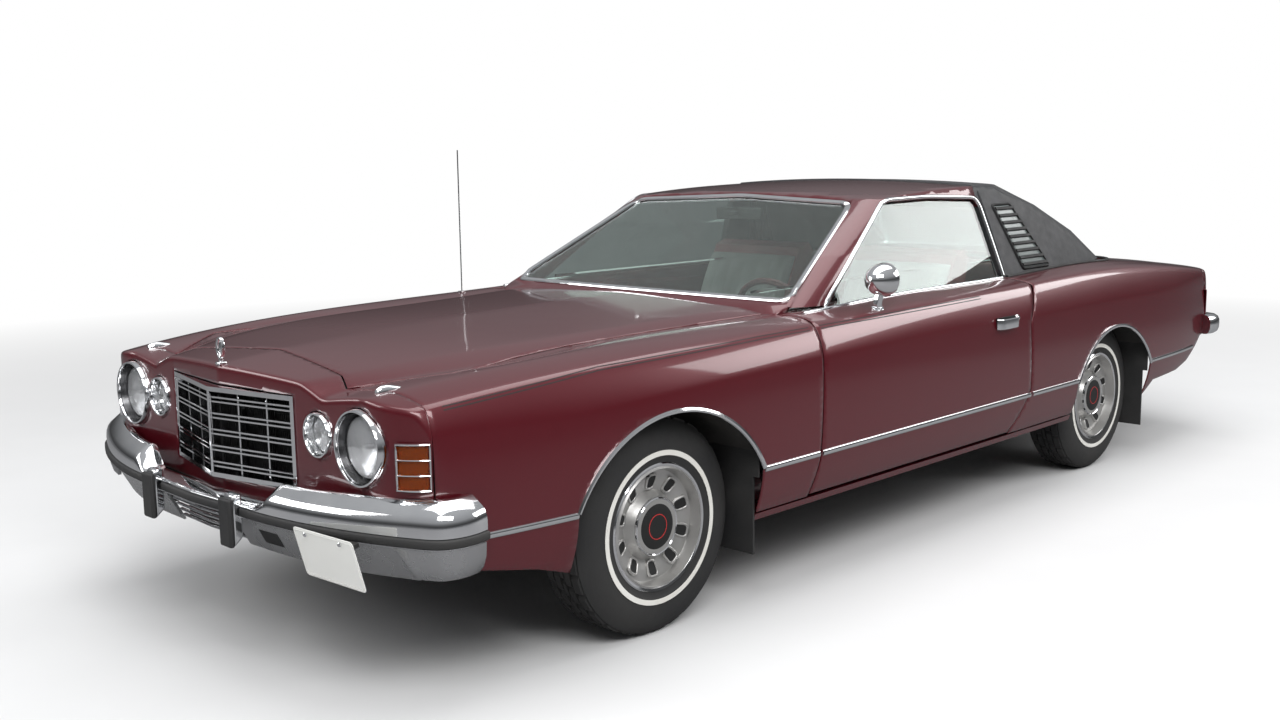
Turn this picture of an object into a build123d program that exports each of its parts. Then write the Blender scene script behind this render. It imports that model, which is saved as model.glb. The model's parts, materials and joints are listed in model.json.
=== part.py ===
from build123d import *
import math
import os

# A two-door hardtop coupe of the 1970s with a half-vinyl roof.
# Millimetres. +X is the nose, +Y the car's left side, +Z up, and Z = 0 is the ground.

# Driving dimensions of the whole car
WHEELBASE = 2921
FRONT_AXLE_X = 1643
REAR_AXLE_X = FRONT_AXLE_X - WHEELBASE
TRACK = 1572
NOSE_X = 2600
TAIL_X = -2612
ROOF_Z = 1336
TRIM_Z = 467
ROCKER_Z = 290

# Sheet and wall thicknesses
SKIN = 14
HOOD_SKIN = 22
ROOF_WALL = 30
GLASS_INSET = 9
GLASS = 6
FLOOR = 10
GUTTER = 24
GUTTER_LIP = 12

# Clearances: round moving panels, at seams of one body, and where one piece seats on another
GAP = 7
GLASS_GAP = 9
SEAM = 0.8
SEAT = 0.3

# Wheels
TYRE_RADIUS = 340
TYRE_WIDTH = 200
AXLE_Z = TYRE_RADIUS
RIM_RADIUS = 193
RIM_BARREL = 172
RIM_WIDTH = 178
WHEEL_Y = TRACK / 2
HUB_FACE_Y = WHEEL_Y + 14
RIM_SLOTS = 10
KINGPIN_Y = 740
KINGPIN_RADIUS = 12
BACKING_RADIUS = 140
ARM_Z = (209, 231.7)
UPPER_ARM_Z = (448.3, 470)
ARM_AIR = 6

# Lower body, one row for each section from tail to nose:
# x, half width at the trim line, crease z, shoulder y and z, ridge y and z, valley y and z,
# bead y and z, centre z
BODY_SECTIONS = [
    (-2690, 858, 725, 842, 808, 772, 823, 700, 828, 540, 834, 840),
    (-2200, 938, 745, 897, 862, 817, 878, 735, 884, 560, 892, 898),
    (-1278, 974, 782, 915, 918, 860, 936, 800, 946, 600, 950, 952),
    (-500, 977, 780, 920, 908, 857, 925, 792, 932, 600, 938, 942),
    (300, 977, 789, 925, 900, 856, 920, 785, 930, 600, 938, 945),
    (1000, 976, 786, 912, 892, 795, 911, 690, 905, 566, 926, 945),
    (1643, 964, 766, 898, 880, 760, 904, 640, 893, 535, 913, 930),
    (2100, 925, 745, 872, 860, 738, 885, 655, 873, 500, 898, 911),
    (2480, 870, 738, 828, 826, 690, 851, 505, 836, 400, 863, 884),
    (2690, 830, 730, 785, 800, 650, 824, 440, 776, 350, 842, 860),
]
ROCKER_TUCK = 45
CREASE_TUCK = 14
SECTION_BULGES = (8, 4, 6, 3, 2, 2, 2)

# Cabin, one row for each level: z, windshield centre x, its corner x and y, side front x and y,
# side rear x and y, back corner x and y, back centre x
CABIN_LEVELS = [
    (900, 921, 907, 752, 735, 793, -1450, 793, -1790, 600, -1840),
    (1085, 580, 564, 662, 440, 727, -1190, 730, -1500, 560, -1550),
    (1215, 340, 322, 596, 215, 680, -930, 684, -1180, 530, -1240),
    (1360, 70, 50, 520, -20, 628, -560, 630, -640, 500, -700),
]
CROWN_RADIUS = 9000
CROWN_X = -600
CABIN_BASE_Z = CABIN_LEVELS[0][0]
ROOF_SPLIT_X = -525

# Panel lines. Side views are (x, z), plans are (x, y), end views are (y, z).
HOOD_FRONT = [(2390, 0), (2452, 416), (2487, 494)]
HOOD_SIDE = [(2249, 667), (1801, 637), (905, 692)]
HOOD_REAR_X = HOOD_SIDE[-1][0]
DOOR_CUT = [(824, 945), (920, 897), (960, 444), (990, 320), (-352, 320), (-481, 484),
            (-489, 762), (-575, 930), (-575, 945)]
SIDE_GLASS = [(676, 914), (662, 936), (141, 1268), (-165, 1272), (-522, 1257), (-555, 914)]
WINDSHIELD = [(-722, 951), (722, 951), (566, 1262), (0, 1284), (-566, 1262)]
REAR_GLASS = [(-550, 968), (550, 968), (465, 1186), (-465, 1186)]
DECK_FRONT_X = -1885
DECK_REAR_X = -2550
DECK_HALF = 665
NOSE_CUT_X = 2470
HEADER_HALF = 507
TAIL_CUT_X = -2470
SILL_Z = 320
CLOSING_Z = 482
FLOOR_HALF = 787.7
FLOOR_Z = 300
TRUNK_Z = 470
FIREWALL_X = 925
KICK_X = -930
REAR_WALL_Y = 640
FIREWALL = 20
COWL_Z = 858
KICK_Y = (690, 705)
HINGE_PILLAR_X = (1000, 1050)
HINGE_PILLAR_Y = 836
TUNNEL_HALF = 150
TUNNEL_WALL = 8
TRUNK_X = (-2560, -1960)
LOAD_HALF = 405
LOAD_RISE = 5
FRONT_UNDERCUT = [(2020, 280), (2150, 330), (2470, 395), (2800, 395), (2800, 200), (2020, 200)]
REAR_UNDERCUT = [(-1650, 280), (-1727, 363), (-2016, 373), (-2154, 403), (-2362, 508), (-2800, 520),
                 (-2800, 200), (-1650, 200)]

# Wheel arches: half width at the foot, foot z, top z
FRONT_ARCH = (385, 473, 708)
REAR_ARCH = (370, 459, 667)
MUD_FLAPS = [(FRONT_AXLE_X, FRONT_ARCH, 179, 440), (REAR_AXLE_X, REAR_ARCH, 153, 420)]
LINER_RADIUS = 452
LINER = 8
LINER_Z = 275
APRON_Y = 470

# Wheelhouses: axle x, inner wall y, outer y, then the wall's low and high x and z
WHEELHOUSES = [
    (FRONT_AXLE_X, APRON_Y, 945, FIREWALL_X, 2360, 480, 815),
    (REAR_AXLE_X, REAR_WALL_Y, 950, REAR_AXLE_X - 470, REAR_AXLE_X + 400, 480, 760),
]

# Louvres in each rear roof pillar
LOUVRES = 7
LOUVRE_PITCH = 31
LOUVRE_WIDTH = 21
LOUVRE_FOOT = (-757, 962)
LOUVRE_HEAD = (-648, 1222)

# Nose
LAMPS = [(650, 707, 107), (458, 717, 66)]
LAMP_X = 2552
MARKER_X = (2485, 2533)
MARKER_Z = (618, 730)
MARKER_PROUD = 5
TAIL_LAMP_Y = (560, 800)
TAIL_LAMP_Z = (640, 770)
GRILLE_HALF = 345
GRILLE_TOP = 812
GRILLE_FOOT = 542
GRILLE_PROW_X = 2636
GRILLE_SWEEP = 12
GRILLE_DEPTH = 55
GRILLE_RIM = 14
GRILLE_PAIRS = 5
GRILLE_BAR = 5
GRILLE_BAR_SPACE = 13
GRILLE_POSTS = 2

# Bumpers
FRONT_BUMPER_X = 2708
REAR_BUMPER_X = -2712
BUMPER_LINE = [(0, 0), (-12, 250), (-78, 690), (-178, 942), (-330, 958)]
BUMPER_CORNER_BULGE = 20
BUMPER_DEPTH = 75
BUMPER_WALL = 12
BUMPER_AIR = 12
BUMPER_LIP = 10
BUMPER_LOBE = [(880, 386), (800, 476)]
FRONT_BUMPER_PROFILE = [(-10, 476), (-10, 517), (330, 520), (385, 584), (990, 597), (990, 386), *BUMPER_LOBE]
REAR_BUMPER_PROFILE = [(-10, 440), (-10, 585), (990, 614), (990, 512), (700, 490), (330, 440)]
STRIP = (480, 506, 6)
VALANCE_TOP = (10, 476)
VALANCE_FOOT = (64, 373)
# Slots in the valance, three in each row: first y, pitch, width, low and high z
VALANCE_SLOTS = [(20, 65, 50, 392, 462), (300, 150, 110, 405, 445)]
GUARD_Y = (201, 263)
FRONT_GUARD_Z = (392, 544)
REAR_GUARD_Z = (430, 600)
OVERALL_HALF = 2734.5

# Doors: the inner face as (z, y), the ledge that the glass stands on, and the flange round the edge
DOOR_INNER = [(700, 850), (860, 760), (960, 760)]
DOOR_LEDGE_Y = 789
DOOR_LEDGE_Z = 924
DOOR_FLANGE = 24

# Boards and pillars round the rear seat
TRIM_BOARD = 10
LOCK_PILLAR = 14
BULKHEAD_X = -1330
SHELF_Z = 880

# Mirror and antenna
MIRROR = (560, 895, 1010)
ANTENNA = (1085, -760, 892)
ANTENNA_TIP_Z = 1490

# Seats, as side views
FRONT_SEAT = [(250, 310.3), (270, 480), (180, 515), (-150, 490), (-400, 1030), (-470, 1050), (-500, 1010),
              (-330, 480), (-250, 310.3)]
FRONT_SEAT_Y = (155, 660)
REAR_SEAT = [(-790, 480.3), (-770, 610), (-1130, 590), (-1290, 915), (-1329, 915), (-1329, 480.3)]
REAR_SEAT_HALF = 620

# Running gear
RAIL_Y = (400, 470)
RAIL_Z = (380, 480)
REAR_RAIL_Y = (430, 500)
REAR_RAIL_Z = (400, 470)
BRACKET_Y = (410, 460)
BRACKET_Z = (446, 540)
TOW_BORE = (-2560, 435, 10.5)
# Engine block: low and high x, half width, low and high z
ENGINE = (1180, 1880, 270, 320, 830)
RADIATOR_X = (2290, 2360)
SHAFT_Z = 335
GEARBOX_END_X = 600
DRUM_Y = 700
SPRING_Y = 545
SPRING_WIDTH = 60
SPRING = [(-2030, 384), (-1660, 322), (REAR_AXLE_X, 290), (-900, 286), (-700, 296)]
SPRING_DEPTH = 24
PIPE_RADIUS = 26
MUFFLER = (-800, -300, -420, -240, 200, 288)
TANK = (-2440, -1900, -340, 340, 300)
DASH = [(770, 858), (610, 856), (566, 834), (548, 720), (600, 640), (770, 640)]
DASH_HALF = 690
COLUMN_LENGTH = 230
STEERING_WHEEL = (425, 370, 800)
STEERING_WHEEL_RADIUS = 190
STEERING_WHEEL_TILT = 22
STEERING_RIM = 13
STEERING_HUB = 14


def box(x_low, x_high, y_low, y_high, z_low, z_high):
    """A block between two corners."""
    size = (x_high - x_low, y_high - y_low, z_high - z_low)
    return Solid.make_box(*size, Plane((x_low, y_low, z_low)))


def swept(points, sweep):
    """A closed polygon of points, swept straight along a vector."""
    return Solid.extrude(Face(Wire.make_polygon(points, close=True)), Vector(*sweep))


def side_prism(outline, y_low, y_high):
    """A side view outline of (x, z), as wide as from y_low to y_high."""
    return swept([(x, y_low, z) for x, z in outline], (0, y_high - y_low, 0))


def plan_prism(outline, z_low, z_high):
    """A plan outline of (x, y), as tall as from z_low to z_high."""
    return swept([(x, y, z_low) for x, y in outline], (0, 0, z_high - z_low))


def end_prism(outline, x_low, x_high):
    """An end view outline of (y, z), as long as from x_low to x_high."""
    return swept([(x_low, y, z) for y, z in outline], (x_high - x_low, 0, 0))


def cylinder(start, direction, radius, length):
    """A round bar from a point along a direction."""
    return Solid.make_cylinder(radius, length, Plane(start, z_dir=direction))


def turned(profile, centre, direction=(0, 1, 0)):
    """A profile of (radius, distance along the axis), turned about an axis through centre."""
    plane = Plane(centre, z_dir=direction)
    points = [plane.from_local_coords((radius, 0, along)) for radius, along in profile]
    face = Face(Wire.make_polygon(points, close=True))
    return Solid.revolve(face, 360, Axis(centre, direction))


def one_shape(result):
    """The one solid, or the group of solids, that a boolean step leaves."""
    solids = result.solids()
    return solids[0] if len(solids) == 1 else Compound(solids)


def cut(shape, *tools):
    """What is left of a shape outside every tool."""
    return one_shape(shape.cut(*tools))


def common(shape, tool):
    """What a shape and a tool share."""
    return one_shape(shape.intersect(tool))


def fused(*shapes):
    """Several shapes as one."""
    return one_shape(shapes[0].fuse(*shapes[1:]))


def mirrored(shape):
    """The same shape on the car's other side."""
    return shape.mirror(Plane.XZ)


def both_sides(shape):
    """A left piece with its right-hand twin, as separate solids."""
    return Compound([*shape.solids(), *mirrored(shape).solids()])


def whole(half):
    """A left half and its mirror image joined on the centre plane."""
    return fused(half, mirrored(half))


def inset_outline(outline, distance):
    """An outline of pairs moved inwards by a distance."""
    wire = Wire.make_polygon([(a, b, 0) for a, b in outline], close=True)
    face = Face(wire.offset_2d(-distance, kind=Kind.INTERSECTION))
    return [(vertex.X, vertex.Y) for vertex in face.outer_wire().order_edges().vertices()]


def bowed(start, end, outwards, bulge):
    """An arc between two points whose middle stands off the chord towards a direction."""
    start = Vector(*start)
    end = Vector(*end)
    chord = end - start
    across = Vector(*outwards)
    across = (across - chord * (across.dot(chord) / chord.dot(chord))).normalized()
    return Edge.make_three_point_arc(start, (start + end) * 0.5 + across * bulge, end)


def body_section(row, inset, drop):
    """The closed left half of one section of the lower body."""
    x, half, crease_z, *upper, centre_z = row
    foot_z = ROCKER_Z - drop
    shoulder, ridge, valley, bead = zip(upper[::2], upper[1::2])
    points = [
        (x, half - ROCKER_TUCK - inset, foot_z),
        (x, half - inset, TRIM_Z),
        (x, half - CREASE_TUCK - inset, crease_z),
        (x, shoulder[0] - inset, shoulder[1] - inset),
        *[(x, y, z - inset) for y, z in (ridge, valley, bead)],
        (x, 0, centre_z - inset),
    ]
    edges = [
        bowed(start, end, (0, 1, 1), bulge)
        for start, end, bulge in zip(points[:-1], points[1:], SECTION_BULGES)
    ]
    edges.append(Edge.make_line(points[-1], (x, 0, foot_z)))
    edges.append(Edge.make_line((x, 0, foot_z), points[0]))
    return Wire(edges)


def body_plan(inset):
    """The left half of the body's plan, which rounds the corners of nose and tail."""
    nose = NOSE_X - inset
    tail = TAIL_X + inset
    edges = [
        Edge.make_line((nose, 0, 0), (nose - 38, GRILLE_HALF, 0)),
        Edge.make_line((nose - 38, GRILLE_HALF, 0), (nose - 52, 650, 0)),
        Edge.make_three_point_arc((nose - 52, 650, 0), (nose - 72, 790 - inset, 0),
                                  (nose - 175, 886 - inset, 0)),
        Edge.make_line((nose - 175, 886 - inset, 0), (nose - 300, 1100, 0)),
        Edge.make_line((nose - 300, 1100, 0), (tail + 310, 1100, 0)),
        Edge.make_line((tail + 310, 1100, 0), (tail + 165, 908 - inset, 0)),
        Edge.make_three_point_arc((tail + 165, 908 - inset, 0), (tail + 60, 826 - inset, 0),
                                  (tail + 36, 690, 0)),
        Edge.make_line((tail + 36, 690, 0), (tail, 0, 0)),
        Edge.make_line((tail, 0, 0), (nose, 0, 0)),
    ]
    return Solid.extrude(Face(Wire(edges)), Vector(0, 0, 1400))


def body_form(inset, drop=0):
    """The solid left half of the lower body, inset from its outer surface."""
    loft = Solid.make_loft([body_section(row, inset, drop) for row in BODY_SECTIONS])
    return common(loft, body_plan(inset))


def cabin_level(row, inset):
    """The closed left half of the cabin's plan at one level."""
    z, front_x, corner_x, corner_y, side_x, side_y, rear_x, rear_y, back_x, back_y, tail_x = row
    front = (front_x - inset, 0, z)
    corner = (corner_x - inset, corner_y - inset / 2, z)
    side = (side_x, side_y - inset, z)
    rear = (rear_x, rear_y - inset, z)
    back = (back_x + inset, back_y - inset / 2, z)
    tail = (tail_x + inset, 0, z)
    edges = [
        bowed(front, corner, (1, 0, 0), 4),
        bowed(corner, side, (1, 1, 0), 22),
        bowed(side, rear, (0, 1, 0), 8),
        bowed(rear, back, (-1, 1, 0), 45),
        bowed(back, tail, (-1, 0, 0), 8),
        Edge.make_line(tail, front),
    ]
    return Wire(edges)


def cabin_form(inset):
    """The solid left half of the cabin above the belt, under its crowned roof."""
    loft = Solid.make_loft([cabin_level(row, inset) for row in CABIN_LEVELS], True)
    crown = Solid.make_sphere(CROWN_RADIUS - inset).rotate(Axis.Z, -90)
    crown = crown.moved(Location((CROWN_X, 0, ROOF_Z - CROWN_RADIUS)))
    return common(loft, crown)


def arch_cutter(axle_x, arch):
    """The opening of a wheel arch in the side, with its sides straight below the foot."""
    half, foot_z, top_z = arch
    rise = top_z - foot_z
    radius = (half**2 + rise**2) / (2 * rise)
    disc = cylinder((axle_x, 780, top_z - radius), (0, 1, 0), radius, 300)
    return fused(
        common(disc, box(axle_x - half, axle_x + half, 700, 1200, foot_z, top_z + 10)),
        box(axle_x - half, axle_x + half, 780, 1080, 100, foot_z),
    )


def hood_outline(gap):
    """The plan of the hood opening, drawn in by the gap for the hood itself."""
    front, corner, shoulder = HOOD_FRONT
    wide, waist, rear = HOOD_SIDE
    half = [
        Edge.make_line((*corner, 0), (*shoulder, 0)),
        Edge.make_line((*shoulder, 0), (*wide, 0)),
        Edge.make_three_point_arc((*wide, 0), (*waist, 0), (*rear, 0)),
    ]
    edges = [
        Edge.make_line((*front, 0), (*corner, 0)),
        Edge.make_line((front[0], 0, 0), (corner[0], -corner[1], 0)),
        Edge.make_line((*rear, 0), (rear[0], -rear[1], 0)),
        *half,
        *[edge.mirror(Plane.XZ) for edge in half],
    ]
    wire = Wire.combine(edges)[0]
    if gap:
        wire = wire.offset_2d(-gap, kind=Kind.INTERSECTION)
    return Solid.extrude(Face(wire).moved(Location((0, 0, 600))), Vector(0, 0, 500))


def door_outline(gap, rise=0):
    """The opening of the left door, drawn in by the gap for the door, its back edge slanted above."""
    (top_x, top_z), (front_x, front_z), *middle, (rear_x, rear_z) = DOOR_CUT
    lean = (front_x - top_x) / (front_z - top_z)
    outline = [(top_x + lean * rise, top_z + rise), (front_x, front_z), *middle, (rear_x, rear_z + rise)]
    if gap:
        outline = inset_outline(outline, gap)
    opening = side_prism(outline, 735, 1100)
    slant = [(-640 + gap, 700), (-548 + gap, 700), (-575 + gap, 915), (-640 + gap, 915)]
    return cut(opening, plan_prism(slant, 860, 1000))


def cabin_well():
    """The hollow below the cabin's rim, which the lower body's upper panels leave open."""
    rim = Face(cabin_level(CABIN_LEVELS[0], ROOF_WALL)).moved(Location((0, 0, 200 - CABIN_BASE_Z)))
    return Solid.extrude(rim, Vector(0, 0, 800))


def deck_outline(gap):
    """The opening of the deck lid, drawn in by the gap for the lid itself."""
    return box(DECK_REAR_X + gap, DECK_FRONT_X - gap, gap - DECK_HALF, DECK_HALF - gap, 780, 1000)


OUTER = body_form(0)
SKIN_SHELL = cut(OUTER, body_form(SKIN, 60))
LID_SHELL = cut(OUTER, body_form(HOOD_SKIN, 60))
DOOR_OPENING = door_outline(0)
HOOD_OPENING = hood_outline(0)
CABIN_OUTER = cabin_form(0)
CABIN_SHELL = cut(CABIN_OUTER, cabin_form(ROOF_WALL))
GLASS_SHELL = cut(cabin_form(GLASS_INSET), cabin_form(GLASS_INSET + GLASS))
CABIN_WELL = cabin_well()
BUMPER_CLEAR = body_form(-BUMPER_AIR)
INSIDE = body_form(SKIN + SEAT, 60)


def fender():
    """The left front fender, from the nose seam back to the door."""
    zone = box(700, NOSE_CUT_X - SEAM, 400, 1100, 200, 1000)
    inboard = plan_prism([(780, 0), (780, 735), HOOD_SIDE[-1], (HOOD_REAR_X, 0)], 700, 1100)
    return cut(
        common(SKIN_SHELL, zone),
        HOOD_OPENING,
        DOOR_OPENING,
        inboard,
        arch_cutter(FRONT_AXLE_X, FRONT_ARCH),
        box(700, FRONT_AXLE_X - FRONT_ARCH[0], 400, 1100, 200, SILL_Z),
        side_prism(FRONT_UNDERCUT, 400, 1100),
        box(2300, 2800, 0, 820, 200, CLOSING_Z),
        box(2370, 2800, 0, HEADER_HALF + SEAM, 700, 1000),
        box(700, 824, 400, 1100, 200, 1000),
    )


def quarter():
    """The left quarter panel, from the door back to the tail seam."""
    zone = box(TAIL_CUT_X + SEAM, -340, 400, 1100, 200, 1000)
    return cut(
        common(SKIN_SHELL, zone),
        DOOR_OPENING,
        deck_outline(0),
        CABIN_WELL,
        box(-2590, -1400, 0, DECK_HALF + SEAM, 200, 1000),
        arch_cutter(REAR_AXLE_X, REAR_ARCH),
        box(REAR_AXLE_X + REAR_ARCH[0], -300, 400, 1100, 200, SILL_Z),
        side_prism(REAR_UNDERCUT, 400, 1100),
    )


def nose_panel():
    """The header and lamp panel across the nose, open for the grille and the lamps."""
    zone = fused(
        box(NOSE_CUT_X, 2800, -10, 1100, 200, 1000),
        box(2370, 2800, -10, HEADER_HALF, 760, 1000),
    )
    half = cut(
        common(SKIN_SHELL, zone),
        HOOD_OPENING,
        side_prism(FRONT_UNDERCUT, -10, 1100),
        box(2300, 2800, -10, 820, 200, CLOSING_Z),
        box(2300, 2800, -10, GRILLE_HALF + SEAT, GRILLE_FOOT - SEAT, GRILLE_TOP + SEAT),
        *[cylinder((2300, y, z), (1, 0, 0), radius, 500) for y, z, radius in LAMPS],
    )
    return whole(half)


def tail_panel():
    """The panel across the tail, with its corner caps and the recesses of the lamps."""
    half = cut(
        common(SKIN_SHELL, box(-2800, TAIL_CUT_X, -10, 1100, 200, 1000)),
        deck_outline(0),
        side_prism(REAR_UNDERCUT, 400, 1100),
        box(-2800, -2300, -10, 1100, 200, CLOSING_Z),
        box(-2800, -2400, *TAIL_LAMP_Y, *TAIL_LAMP_Z),
    )
    return whole(half)


def tail_lamps():
    """The pair of lamps that fill the recesses of the tail panel."""
    y_low, y_high = TAIL_LAMP_Y
    z_low, z_high = TAIL_LAMP_Z
    bounds = box(-2800, -2500, y_low + SEAT, y_high - SEAT, z_low + SEAT, z_high - SEAT)
    lamp = common(cut(body_form(-4), body_form(30, 60)), bounds)
    return both_sides(lamp)


def deck_filler():
    """The panel between the rear window and the deck lid."""
    return whole(cut(common(SKIN_SHELL, box(DECK_FRONT_X, -1400, -10, DECK_HALF, 700, 1000)), CABIN_WELL))


def hood():
    """The hood, one pressing with a folded edge, inside its opening."""
    return whole(common(LID_SHELL, hood_outline(GAP)))


def deck_lid():
    """The deck lid inside its opening."""
    return whole(common(LID_SHELL, deck_outline(GAP)))


def gutters():
    """The drained channels under the edges of the hood and the deck lid, which rest on them."""
    layer = cut(INSIDE, body_form(SKIN + GUTTER, 60))
    lid_space = cut(OUTER, body_form(HOOD_SKIN + SEAT, 60))
    rings = []
    for outline, limits in (
        (hood_outline, box(HOOD_REAR_X + 35, 2800, -10, 1100, 700, 1000)),
        (deck_outline, box(-2520, DECK_FRONT_X - GAP, -10, 1100, 700, 1000)),
    ):
        ring = cut(common(common(layer, outline(-GUTTER_LIP)), limits), outline(GAP + GUTTER))
        rings.append(whole(cut(ring, common(lid_space, outline(0)))))
    return Compound(rings)


def door():
    """The left door: an outer flange, the thick inner box and the ledge that the glass stands on."""
    panel = door_outline(GAP)
    inner = door_outline(GAP + DOOR_FLANGE, GAP + DOOR_FLANGE)
    depth = end_prism(
        [(DOOR_INNER[0][1], 250), *[(y, z) for z, y in DOOR_INNER], (1100, 960), (1100, 250)],
        -1000, 1200,
    )
    core = common(common(OUTER, inner), depth)
    flange = common(common(SKIN_SHELL, panel), depth)
    ledge = box(-1000, 1200, 700, DOOR_LEDGE_Y, DOOR_LEDGE_Z, 1000)
    return cut(fused(flange, core), ledge)


def door_glass():
    """The frameless glass of the left door."""
    pane = common(GLASS_SHELL, side_prism(inset_outline(SIDE_GLASS, GLASS_GAP), 500, 900))
    return cut(pane, box(-1000, 1200, 0, 1100, 800, DOOR_LEDGE_Z + SEAT))


def roof_pieces():
    """The painted front of the roof with its pillars, and the padded rear with its louvres."""
    below = cut(OUTER, box(700, HOOD_REAR_X, -10, 692, 880, 1000))
    shell = cut(
        CABIN_SHELL,
        below,
        DOOR_OPENING,
        side_prism(SIDE_GLASS, 500, 900),
        end_prism(WINDSHIELD, 150, 1000),
        end_prism(REAR_GLASS, -2000, -1230),
    )
    front = common(shell, box(ROOF_SPLIT_X, 1000, -10, 1000, 800, 1400))
    rear = common(shell, box(-2000, ROOF_SPLIT_X, -10, 1000, 800, 1400))
    slots = louvre_slots()
    rear = cut(whole(rear), *slots, *[mirrored(slot) for slot in slots])
    return whole(front), rear


def louvre_slots():
    """The slanted slots between the louvres of the left rear pillar."""
    (foot_x, foot_z), (head_x, head_z) = LOUVRE_FOOT, LOUVRE_HEAD
    slots = []
    for index in range(LOUVRES):
        shift = -LOUVRE_PITCH * index
        taper = 0.62
        slots.append(side_prism([
            (foot_x + shift, foot_z),
            (head_x + shift * taper, head_z),
            (head_x + shift * taper - LOUVRE_WIDTH * taper, head_z),
            (foot_x + shift - LOUVRE_WIDTH, foot_z),
        ], 500, 900))
    return slots


def fixed_glass(outline, x_low, x_high):
    """A fixed pane that fills its opening to the seat clearance."""
    pane = common(GLASS_SHELL, end_prism(inset_outline(outline, SEAT), x_low, x_high))
    return whole(pane)


def rocker_panels():
    """The sills under both doors."""
    length = (REAR_AXLE_X + REAR_ARCH[0], FRONT_AXLE_X - FRONT_ARCH[0])
    lower = common(OUTER, box(*length, 790, 1100, ROCKER_Z, SILL_Z - GAP))
    sill = box(*length, 788, 836, ROCKER_Z, 400)
    seal = box(-330, 860, 830, DOOR_INNER[0][1] - SEAT, 384, 400)
    return both_sides(fused(lower, sill, seal))


def underbody():
    """The floor with its tunnel and the raised trunk floor."""
    top_z = FLOOR_Z + FLOOR
    trunk_top_z = TRUNK_Z + FLOOR
    side = [(FIREWALL_X, FLOOR_Z), (-780, FLOOR_Z), (KICK_X, TRUNK_Z), (KICK_X, trunk_top_z),
            (KICK_X + 16, trunk_top_z), (-764, top_z), (FIREWALL_X, top_z)]
    front = side_prism(side, -FLOOR_HALF, FLOOR_HALF)
    front = cut(
        front,
        box(-1000, -905, -800, -REAR_WALL_Y, 250, 500),
        box(-1000, -905, REAR_WALL_Y, 800, 250, 500),
    )
    trunk = box(TRUNK_X[0], KICK_X, -REAR_WALL_Y, REAR_WALL_Y, TRUNK_Z, trunk_top_z)
    load = box(TRUNK_X[0] + 120, TRUNK_X[1], -LOAD_HALF, LOAD_HALF, trunk_top_z, trunk_top_z + LOAD_RISE)
    hollow = TUNNEL_HALF - TUNNEL_WALL
    channel = box(KICK_X - 10, FIREWALL_X + 10, -hollow, hollow, 250, TRUNK_Z - TUNNEL_WALL)
    tunnel = box(KICK_X, FIREWALL_X, -TUNNEL_HALF, TUNNEL_HALF, FLOOR_Z, TRUNK_Z)
    return fused(cut(front, channel), cut(tunnel, channel), trunk, load)


def chassis_rails():
    """Front rails out to the bumper, and rear rails under the trunk floor."""
    front = fused(
        box(FIREWALL_X, 2580, *RAIL_Y, *RAIL_Z),
        box(2560, 2630, *BRACKET_Y, BRACKET_Z[0], RAIL_Z[1] - 8),
        box(2600, 2630, *BRACKET_Y, *BRACKET_Z),
        common(bumper_core(FRONT_BUMPER_X), box(2600, 2800, *BRACKET_Y, BRACKET_Z[1] - 40, BRACKET_Z[1])),
    )
    core = bumper_core(-REAR_BUMPER_X).mirror(Plane.YZ)
    bracket = common(core, box(-2800, -2590, *REAR_RAIL_Y, *REAR_RAIL_Z))
    rear = fused(box(-2600, -950, *REAR_RAIL_Y, *REAR_RAIL_Z), bracket)
    x, z, radius = TOW_BORE
    rear = cut(rear, cylinder((x, 400, z), (0, 1, 0), radius, 200))
    return both_sides(Compound([front, rear]))


def cowl():
    """The firewall, the shelf under the windshield, the kick panels and the hinge pillars."""
    front_x = FIREWALL_X - FIREWALL
    kick_z = (FLOOR_Z + FLOOR, COWL_Z + 2)
    half = fused(
        box(740, FIREWALL_X, -10, 685, COWL_Z, COWL_Z + SKIN),
        box(790, 890, -10, 685, COWL_Z, CABIN_BASE_Z),
        box(front_x, FIREWALL_X, -10, KICK_Y[1], *kick_z),
        box(front_x, HINGE_PILLAR_X[1], *KICK_Y, *kick_z),
        box(*HINGE_PILLAR_X, KICK_Y[0], HINGE_PILLAR_Y, 400, 850),
    )
    return whole(cut(half, box(800, 1000, -10, TUNNEL_HALF, 200, TRUNK_Z)))


def wheelhouses():
    """The inner aprons and round liners over the four wheels."""
    pieces = []
    for axle_x, y_low, y_high, x_low, x_high, z_low, z_high in WHEELHOUSES:
        ring = cut(
            cylinder((axle_x, y_low, LINER_Z), (0, 1, 0), LINER_RADIUS + LINER, y_high - y_low),
            cylinder((axle_x, y_low - 1, LINER_Z), (0, 1, 0), LINER_RADIUS, y_high - y_low + 2),
        )
        arch = common(common(ring, box(axle_x - 500, axle_x + 500, 0, 1100, 500, 900)), INSIDE)
        wall = box(x_low, x_high, y_low, y_low + LINER, z_low, z_high)
        pieces.append(fused(arch, wall))
    return both_sides(Compound(pieces))


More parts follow.
